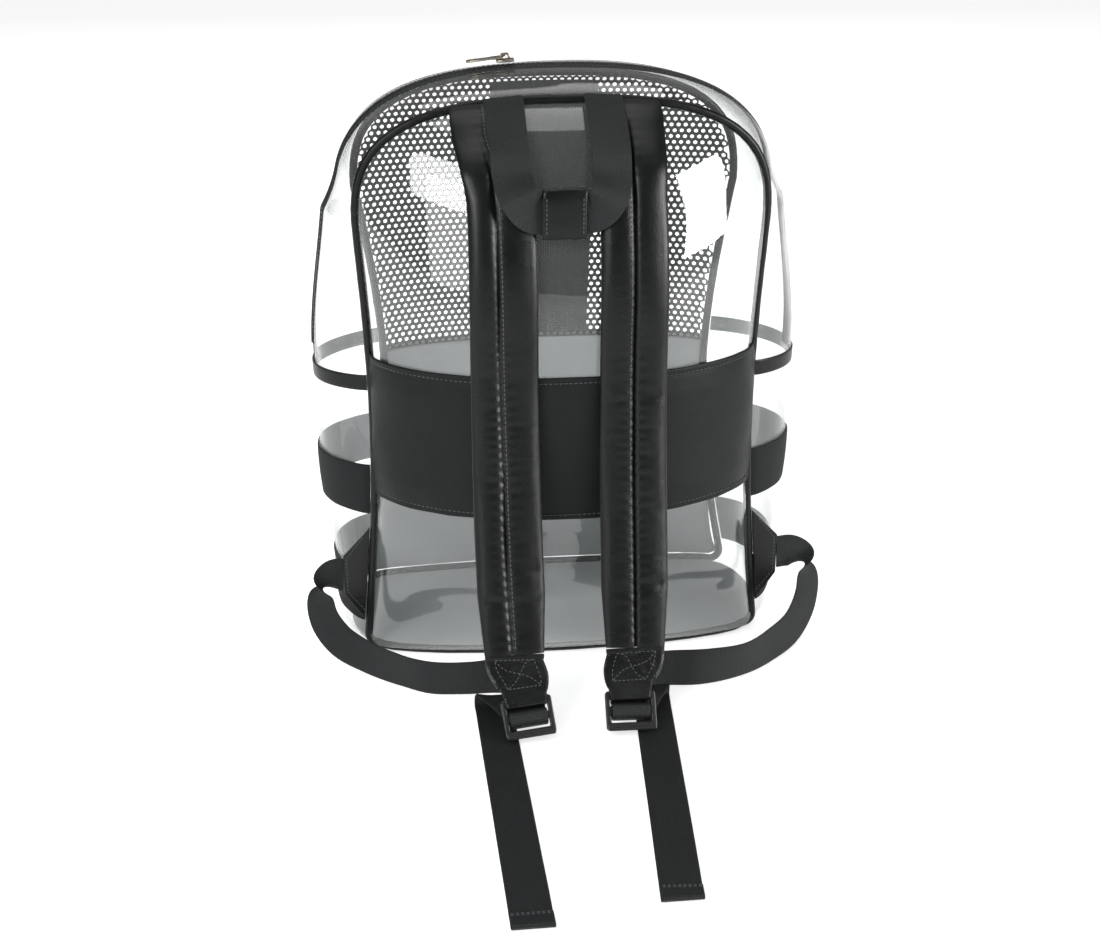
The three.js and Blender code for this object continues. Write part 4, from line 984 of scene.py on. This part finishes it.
# pad: middle + across x + out * (two pillows + puckers at the groove + random creases + swell), flat behind
def shoulderStrap(hand):
    line = spine(strapRows[hand], 1.6)
    total = line["run"][-1]
    grooveTop, grooveEnd = strap[hand + "Groove"]
    groove = grooveTop + (grooveEnd - grooveTop) * line["run"] / total
    w = np.sin(np.linspace(-np.pi / 2, np.pi / 2, 61))
    x = line["width"][:, None] / 2 * w
    run = line["run"][:, None] + 0 * x
    off = x - (groove * line["width"] / 2)[:, None]
    low = np.clip((run - 120) / 120, 0, 1)
    pucker = (0.16 + 0.26 * low) * np.sin(run * 2 * np.pi / 7.1 + 1.7 * np.sin(run / 13)) * np.exp(-np.abs(off) / 5)
    creases = 0 * x
    for _ in range(strap["creases"]):
        place, tilt, wide = rng.uniform(110, total - 10), rng.uniform(-0.25, 0.25), rng.uniform(2.4, 5.0)
        side, reach = rng.choice([-1, 1]), rng.uniform(8, 20)
        mid = side * rng.uniform(6, 18)
        dent = np.exp(-((run - place - tilt * x) / wide) ** 2) * np.exp(-((x - mid) / reach) ** 2)
        creases -= rng.uniform(0.12, 0.34) * dent
    swell = 0.35 * np.sin(run / 37 + x / 19) + 0.2 * np.sin(run / 17 - x / 11)
    inner = np.clip((1 - np.abs(w)) / 0.25, 0, 1)
    high = padHeight(w[None, :], groove[:, None]) * line["thick"][:, None] / 2
    top = (line["middle"][:, None, :] + line["across"][:, None, :] * x[..., None]
           + line["out"][:, None, :] * (high + (pucker + creases * low + swell) * inner)[..., None])
    flatBack = np.sqrt(1 - (1 - np.clip((1 - np.abs(w)) / 0.2, 0, 1)) ** 2) * 0.95 + 0.05
    under = (line["middle"][:, None, :] + line["across"][:, None, :] * x[..., None]
             - line["out"][:, None, :] * (flatBack[None, :] * line["thick"][:, None] / 2)[..., None])
    uv = np.stack([x, run], -1).reshape(-1, 2) / 10
    pad = makeObject(f"strap_pad_{hand}", np.concatenate([top.reshape(-1, 3), under.reshape(-1, 3)]),
                     gridFaces(*x.shape),
                     leather, np.concatenate([uv, uv]), sharp=60)
    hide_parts(f"shoulder_strap_{hand}")
    inward = 1 if hand == "left" else -1
    at = np.linspace(3, total - 3, 900)
    gx = np.interp(at, line["run"], groove * line["width"] / 2) + inward * 2.7
    p, n = onRibbon(line, top, w, gx, at)
    sewn(f"strap_stitches_{hand}", *stitchRun(p, n, 3.3, 0.72, 0.05), 0.38, greyThread, slot="leather")
    return line


# tapered end: a ribbon with gathered puckers that fade along it, box-stitched
def strapEnd(hand):
    line = spine(endRows[hand], 0.6)
    profile = flatProfile(17, 0.1)
    puckers = lambda x, run, w: (0.34 * np.sin(run * 0.8 + 2.2 * np.sin(x / 4.0)) * np.sin(x / 3.1 + run * 0.35)
                                 * np.clip(1 - run / 34, 0,
                                           1) * np.clip((1 - np.abs(w)) / 0.2, 0, 1) * np.clip(run / 3, 0, 1))
    piece, top = ribbon(f"strap_tip_{hand}", line, glossLeather, profile, puckers)
    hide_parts(f"strap_end_{hand}")
    w = profile[:, 0]
    box = [(-14, 3), (14, 3), (12, 24), (-12, 24), (-14, 3)], [(-14, 3), (12, 24)], [(14, 3), (-12, 24)]
    runs = []
    for corners in box:
        for (x0, r0), (x1, r1) in zip(corners[:-1], corners[1:]):
            t = np.linspace(0, 1, 40)
            p, n = onRibbon(line, top, w, x0 + (x1 - x0) * t, r0 + (r1 - r0) * t)
            runs.append(stitchRun(p, n, 3.0, 0.72, 0.05))
    sewn(f"tip_stitches_{hand}", *joined(runs), 0.36, greyThread, slot="gloss_leather")


for hand in ("left", "right"):
    shoulderStrap(hand)
    strapEnd(hand)
print("straps ready")

# webbing
webRows = {
    "left": [(-168.4, -61.2, 64, 0, 0, 1), (-175, -61.2, 64, 0.05, 0, 1), (-185.5, -63.5, 53, 0.5, -0.1, 1),
             (-185, -72, 35, 0.6, -0.1, 0.9), (-174, -84, 21, 0.4, 0.1, 1), (-157, -98, 14.6, 0.1, 0.1, 1),
             (-132, -122, 14, 0, 0, 1), (-108, -138, 14, 0, 0, 1), (-82, -142, 14, 0, 0, 1),
             (-64, -143, 15, 0.1, 0.05, 1), (-51, -150, 20, 0.7, 0.1, 0.8), (-45, -164, 27, 1, 0, 0.25),
             (-44.2, -184.7, 27.2, 0.99, 0.06, 0.08), (-43.5, -190.2, 22.7, 0.99, 0.06, 0.08),
             (-43, -193.8, 19.2, 0.99, 0.06, 0.08), (-42.6, -197.1, 17.2, 0.99, 0.06, 0.08),
             (-42.5, -200.7, 18, 0.99, 0.06, 0.08), (-42.4, -203.1, 19.6, 0.99, 0.06, 0.08),
             (-42.3, -205.7, 20.1, 0.99, 0.06, 0.08), (-42, -208, 18.1, 0.99, 0.06, 0.08),
             (-41.7, -209.4, 15.4, 0.99, 0.06, 0.08), (-41.5, -209, 12.6, 0.99, 0.06, 0.08),
             (-41.5, -207.4, 10.6, 0.99, 0.06, 0.08), (-41.4, -205.3, 8.6, 0.99, 0.06, 0.08),
             (-41.7, -201.6, 8.4, 0.99, 0.06, 0.08), (-42.1, -197.1, 11, 0.99, 0.06, 0.08),
             (-46, -186, 9.6, 1, 0, 0), (-54, -176, 12, 1, 0, 0), (-60, -166, 11, 1, 0, 0),
             (-63, -159.5, 7.2, 1, 0, 0), (-63.5, -161, 2.6, 1, 0, 0), (-63.2, -170, 1, 1, 0, 0),
             (-63, -200, 1, 1, 0, 0), (-62.7, -245, 1, 1, 0, 0), (-62.3, -295, 1, 1, 0, 0),
             (-62, -345, 1, 1, 0, 0), (-61.7, -382.5, 1, 1, 0, 0), (-61.51, -418.4, 1, 1, 0, 0),
             (-61.5, -419.65, 1.9, 1, 0, 0), (-61.51, -418.4, 2.78, 1, 0, 0), (-61.54, -412, 2.75, 1, 0, 0),
             (-61.57, -406.5, 2.7, 1, 0, 0)],
    "right": [(168.4, -61.2, 65, 0, 0, 1), (180, -61.2, 65, -0.15, 0, 1), (191.5, -63.5, 55, -0.5, -0.1, 1),
              (191, -74, 35, -0.6, -0.1, 0.9), (176, -96, 19, -0.3, 0.1, 1), (154, -117, 14.4, -0.1, 0.1, 1),
              (128, -137, 14, 0, 0, 1), (96, -145, 14, 0, 0.2, 1), (70, -144, 14, 0, 0.2, 1),
              (54, -146, 15.5, -0.1, 0.1, 1), (41, -152, 21, -0.7, 0.1, 0.8), (34, -165, 28, -1, 0, 0.25),
              (31.4, -183.6, 27.2, -1, 0.01, 0.02), (31.3, -189.2, 22.8, -1, 0.01, 0.02),
              (31.2, -192.8, 19.2, -1, 0.01, 0.02), (31.1, -196.1, 17.2, -1, 0.01, 0.02),
              (31.1, -199.7, 18, -1, 0.01, 0.02), (31.1, -202.1, 19.6, -1, 0.01, 0.02),
              (31.1, -204.7, 20.1, -1, 0.01, 0.02), (31, -207, 18.1, -1, 0.01, 0.02),
              (30.9, -208.5, 15.4, -1, 0.01, 0.02), (30.9, -208.1, 12.6, -1, 0.01, 0.02),
              (30.9, -206.4, 10.6, -1, 0.01, 0.02), (30.9, -204.4, 8.6, -1, 0.01, 0.02),
              (30.9, -200.6, 8.4, -1, 0.01, 0.02), (31, -196.1, 11, -1, 0.01, 0.02), (38, -186, 9.6, -1, 0, 0),
              (46, -175, 12, -1, 0, 0), (52, -165, 11, -1, 0, 0), (54, -158.5, 7.2, -1, 0, 0),
              (53.5, -160, 2.6, -1, 0, 0), (52.6, -169, 1, -1, 0, 0), (50, -197.2, 1, -1, 0, 0),
              (46.1, -239.5, 1, -1, 0, 0), (41.9, -286.5, 1, -1, 0, 0), (37.6, -333.5, 1, -1, 0, 0),
              (34.3, -368.8, 1, -1, 0, 0), (31.24, -402.41, 1, -1, 0, 0), (31.13, -403.65, 1.9, -1, 0, 0),
              (31.24, -402.41, 2.78, -1, 0, 0), (31.82, -396.03, 2.75, -1, 0, 0), (32.32, -390.56, 2.7, -1, 0, 0)],
}
gripAt = np.array([-8.5, -131.44, 357.0])
handleRows = [(-43, -66, 422.8, 0.99, 0, 0.1), (-43, -74.5, 419.9, 0.99, -0.03, 0.1),
              (-43.1, -83.3, 414.8, 0.99, -0.05, 0.1), (-43.2, -93.7, 406.9, 0.99, -0.08, 0.09),
              (-42.7, -111.3, 391.9, 1, 0, 0), (-42.2, -118.2, 380.9, 1, 0, 0.06), (-38.7, -134, 369.2, 1, 0, 0.5),
              (-31.9, -133, 359.9, 1, 0, 2), (-25.5, -131.8, 357, 0, 0, 1), (-8.5, -131.4, 357, 0, 0, 1),
              (8.5, -131.8, 357, 0, 0, 1), (14.9, -133, 359.9, -1, 0, 2), (21.6, -134, 369.2, -1, 0, 0.5),
              (25.1, -118.9, 380.9, -1, 0, 0.06), (25.7, -112.1, 391.9, -1, 0, 0),
              (26, -94.4, 407.7, -1, -0.06, 0.05), (25.9, -83.8, 415.6, -1, -0.04, 0.06),
              (25.9, -74.7, 420.7, -1, -0.02, 0.06), (25.9, -66, 423.6, -1, 0, 0.06)]
webbing = {"width": 27.0, "thick": 1.4}


# webbing: a flat ribbon of even width along the rows
def strip(name, rows, node, flat, held, rests):
    rows = [(*r, webbing["width"], webbing["thick"]) for r in rows]
    line = spine(rows, 1.2)
    profile = flatProfile(11, 0.07)
    piece, top = ribbon(name, line, webbingCloth, profile)
    cloth(piece, node, flat, held, rests_on=rests)
    return line, top, profile[:, 0]


for hand in ("left", "right"):
    line, top, w = strip(f"web_{hand}", webRows[hand], f"webbing_{hand}", (0.027, 0.66), "laid", ["floor"])
    total = line["run"][-1]
    runs = []
    for inset in (9.5, 11.0):
        x = np.linspace(-12.6, 12.6, 60)
        p, n = onRibbon(line, top, w, x, np.full_like(x, total - 12 + inset))
        p[:, 2] = 3.45
        runs.append(stitchRun(p, np.tile(upward, (len(p), 1)), 2.9, 0.75))
    sewn(f"tail_stitches_{hand}", *joined(runs), 0.36, greyThread, slot="webbing")
strip("handle_web", handleRows, "handle_webbing", (0.027, 0.235), "hung", ["grip_sleeve"])


# grip: a sleeve round the webbing with rolled lips; its superellipse section swells as (1 - x^8)^(1/2) along it
def gripSleeve():
    around, length = 72, 30.0
    turn = np.linspace(0, 2 * np.pi, around, endpoint=False)
    stretch = np.array([-15, -14.7, -14, -12, -8, -3, 3, 8, 12, 14, 14.7, 15, 14.7, 14, 12, 6, 0, -6, -12, -14,
                        -14.7])
    outer = np.arange(len(stretch)) <= 11
    grow = np.where(outer, np.sqrt(np.clip(1 - (np.abs(stretch) / 15.0) ** 8, 0, 1)), 0)
    deep = np.where(outer, 4.0 + 1.1 * grow, 3.1)
    tall = np.where(outer, 16.4 + 1.0 * grow, 15.3)
    power = 2 / 3.2
    y = np.sign(np.cos(turn)) * np.abs(np.cos(turn)) ** power
    z = np.sign(np.sin(turn)) * np.abs(np.sin(turn)) ** power
    fold = 0.25 * np.sin(stretch[:, None] * 0.9 + 3 * turn[None, :]) * outer[:, None]
    ring = np.stack([stretch[:, None] + 0 * turn[None, :], (deep[:, None] + fold) * y[None, :],
                     (tall[:, None] + fold) * z[None, :]], -1) + gripAt
    count = len(stretch)
    uv = np.stack([ring[..., 0], ring[..., 2]], -1).reshape(-1, 2) / 10
    i, k = np.arange(count)[:, None], np.arange(around)[None, :]
    j, m = (i + 1) % count, (k + 1) % around
    faces = np.stack([i * around + k, i * around + m, j * around + m, j * around + k], -1).reshape(-1, 4)
    return makeObject("grip_sleeve", ring.reshape(-1, 3), faces, leather, uv, sharp=70)


grip = gripSleeve()
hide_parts("handle_grip")
runs = []
for x in (-12.4, 12.4):
    z = np.linspace(-12.5, 12.5, 50)
    p = np.stack([np.full_like(z, x), np.full_like(z, -5.1), z], 1) + gripAt
    runs.append(stitchRun(p, np.tile(back, (len(z), 1)), 3.0, 0.72))
sewn("grip_stitches", *joined(runs), 0.34, greyThread, slot="leather")

# tabs at the back seam: leather with a bound edge
for hand, sign in (("left", -1), ("right", 1)):
    z = np.linspace(26, 102, 14)
    inner = np.stack([sign * (halfWidth("back", z) + bag["piping"] + 1.3 * bag["gap"]), z], 1)
    outline = np.concatenate([inner, [[sign * 168.0, 80.0]], [[sign * 168.0, 48.0]]])
    tab = plate(f"tab_{hand}", outline, [], 0.0, 3.1, 0.6, [[1, 0, 0], [0, 0, 1], [0, -1, 0]], (0, -59.6, 0),
                glossLeather)
    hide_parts(f"anchor_tab_{hand}")
    shrink = np.array([[sign * 152.6, 95.0], [sign * 165.6, 78.0], [sign * 165.6, 50.0], [sign * 152.6, 33.0]])
    runs = []
    for a, b in zip(shrink[:-1], shrink[1:]):
        t = np.linspace(0, 1, 30)[:, None]
        flat = a + (b - a) * t
        p = np.stack([flat[:, 0], np.full(30, -62.75), flat[:, 1]], 1)
        runs.append(stitchRun(p, np.tile(back, (30, 1)), 3.0, 0.72))
    sewn(f"tab_stitches_{hand}", *joined(runs), 0.34, greyThread, slot="gloss_leather")
print("webbing ready")

# buckles: frame with two slots, a thumb lip and ridges; local axes u down the strap, w across, n out
buckleFrames = {"left": ((-42, -205, 15.6), 0.1), "right": ((31, -204, 15.6), -0.02)}


# axes of a lock: down the strap, across and out, the first turned by tilt about the last
def buckleAxes(tilt):
    n = np.array([0, -0.768, 0.64]) / np.hypot(0.768, 0.64)
    down = np.array([0, -0.64, -0.768])
    down = down * math.cos(tilt) + np.cross(n, down) * math.sin(tilt)
    down = unit(down)
    across = unit(np.cross(down, n))
    across = across if across[0] > 0 else -across
    return down, across, n


# boxes are (down from, down to, across from, across to, corner radius)
lock = {"frame": (-14, 14, -18, 18, 2.6), "slots": [(-8.9, -2.4, -14.6, 14.6, 0.8), (2.4, 8.5, -14.3, 14.3, 0.8)],
        "half": 2.0, "bevel": 0.75, "lip": (9.6, 14.6, -17.4, 17.4,
                                            1.6), "lipFrom": 1.6, "lipTo": 4.0, "lipBevel": 0.7,
        "ridges": (10.9, 12.1, 13.3), "ridgeHalf": 15.5, "ridgeOff": 3.9, "ridgeRadius": 0.45}
for hand, (at, tilt) in buckleFrames.items():
    axes = u, w, n = buckleAxes(tilt)
    body = plate(f"ladder_lock_{hand}", roundedBox(*lock["frame"]), [roundedBox(*box) for box in lock["slots"]],
                 -lock["half"], lock["half"], lock["bevel"], axes, at, buckleResin)
    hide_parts(f"buckle_{hand}")
    plate(f"lock_lip_{hand}", roundedBox(*lock["lip"]), [], lock["lipFrom"], lock["lipTo"], lock["lipBevel"],
          axes, at, buckleResin)
    for k, place in enumerate(lock["ridges"]):
        t = np.linspace(-lock["ridgeHalf"], lock["ridgeHalf"], 24)[:, None]
        path = np.array(at) + u * place + w * t + n * lock["ridgeOff"]
        tube(f"lock_ridge_{hand}_{k}", path, lock["ridgeRadius"], 8, buckleResin, reference=n)
print("buckles ready")

# zip slider and pull: the plate rides over the teeth, the bridge spans it and the pull hangs in the bridge
slider = {"station": -0.15, "floor": 3.8, "plate": 2.0, "bridge": 4.2, "bridgeHalf": 1.6, "bar": 1.4, "slack": 0.5,
          "pullHalf": 0.65, "droop": 0.05}


# point of the zip's middle line at a station
def onCoil(station):
    return gussetPoint(np.array([station]), np.array([coilShare]))[0]


seat = onCoil(slider["station"])
slide = unit(onCoil(slider["station"] + 0.02) - onCoil(slider["station"] - 0.02))
raised = unit(np.cross(slide, np.array([0.0, 1.0, 0.0])))
raised = raised if raised[2] > 0 else -raised
depthWay = np.cross(slide, raised)
plateFloor = slider["floor"]
wedge = np.array([[-6.5, -2.6], [-3.5, -4.3], [3.5, -4.3], [6.5, -3.4], [6.5, 3.4], [3.5, 4.3], [-3.5, 4.3],
                  [-6.5, 2.6]])
body = plate("slider_plate", wedge, [], plateFloor, plateFloor + slider["plate"], 0.5,
             [slide, depthWay, raised], seat, gunMetal)
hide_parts("zip_slider")
h1, h2 = plateFloor + slider["plate"] - 0.1, plateFloor + slider["plate"] + slider["bridge"]
bridgeOutline = np.array([[-4.2, h1], [-2.7, h2 - 0.4], [-2.0, h2], [2.0, h2], [2.7, h2 - 0.4], [4.2, h1],
                          [2.6, h1], [1.5, h2 - slider["bar"]], [-1.5, h2 - slider["bar"]], [-2.6, h1]])
plate("slider_bridge", bridgeOutline, [], -slider["bridgeHalf"], slider["bridgeHalf"], 0.35,
      [slide, raised, -depthWay], seat, gunMetal)
hinge = h2 - slider["bar"] - slider["slack"] - slider["pullHalf"]
c, s = math.cos(slider["droop"]), math.sin(slider["droop"])
pullSlide, pullRaised = slide * c + raised * s, raised * c - slide * s
pullAt = seat + raised * hinge
tabOutline = np.array([[0.5, -3.1], [0.5, 3.1], [-1.2, 4.4], [-9, 4.4], [-12, 3.4], [-25, 4.4], [-28, 2.1],
                       [-28, -2.1], [-25, -4.4], [-12, -3.4], [-9, -4.4], [-1.2, -4.4]])
eye = roundedBox(-6.4, -0.75, -1.95, 1.95, 0.5)
tip = roundedBox(-25.6, -21.6, -1.9, 1.9, 1.6)
pull = plate("pull_tab", tabOutline, [eye, tip], -slider["pullHalf"], slider["pullHalf"], 0.3,
             [pullSlide, depthWay, pullRaised], pullAt, gunMetal, body="puller")
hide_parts("zip_pull")
print("zip ready")

# stage and light
floorMesh = bpy.data.meshes.new("floor")
floorMesh.from_pydata([(-6, -5, 0), (6, -5, 0), (6, 9, 0), (-6, 9, 0)], [], [(0, 1, 2, 3)])
floor = bpy.data.objects.new("floor", floorMesh)
floorMaterial = plainMaterial("floor", (0.93, 0.93, 0.93), 0.6, Emission_Color=(1, 1, 1, 1), Emission_Strength=0.7)
floorMesh.materials.append(floorMaterial)
scene.collection.objects.link(floor)

world = bpy.data.worlds.new("world")
world.use_nodes = True
tree = world.node_tree
tree.nodes.clear()
# the camera sees a white studio, the object a dim one
seen = put(tree, "MapRange", Value=tree.nodes.new("ShaderNodeLightPath").outputs["Is Camera Ray"], i3=0.22, i4=1.0)
sky = put(tree, "Background", Color=(1, 1, 1, 1), Strength=seen.outputs["Result"])
tree.links.new(sky.outputs[0], tree.nodes.new("ShaderNodeOutputWorld").inputs["Surface"])
scene.world = world


# a rectangular light at a point, turned to face its target
def softbox(name, at, target, size, power):
    data = bpy.data.lights.new(name, "AREA")
    data.shape = "RECTANGLE"
    data.size, data.size_y = size
    data.energy = power
    lamp = bpy.data.objects.new(name, data)
    lamp.location = at
    lamp.rotation_euler = (Vector(target) - Vector(at)).to_track_quat("-Z", "Y").to_euler()
    scene.collection.objects.link(lamp)
    return lamp


# lights: where, aimed at, size in metres, watts; the cards are seen in shiny surfaces only, the back light never
lights = {"key": ((-1.3, -1.5, 1.5), (0, 0, 0.2), (0.9, 0.9), 22),
          "top": ((0.0, 0.3, 2.3), (0, 0, 0.1), (1.6, 1.6), 14),
          "behind": ((0.0, 2.4, 1.6), (0, 0.2, 0.1), (2.4, 1.2), 22),
          "card right": ((1.9, -1.35, 0.95), (0, -0.1, 0.25), (1.0, 1.5), 85),
          "card left": ((-1.25, -1.75, 0.85), (0, -0.1, 0.25), (0.75, 1.4), 10)}
for name, values in lights.items():
    lamp = softbox(name, *values)
    lamp.visible_diffuse = not name.startswith("card")
    lamp.visible_glossy = name != "behind"
scene.view_settings.view_transform = "Standard"
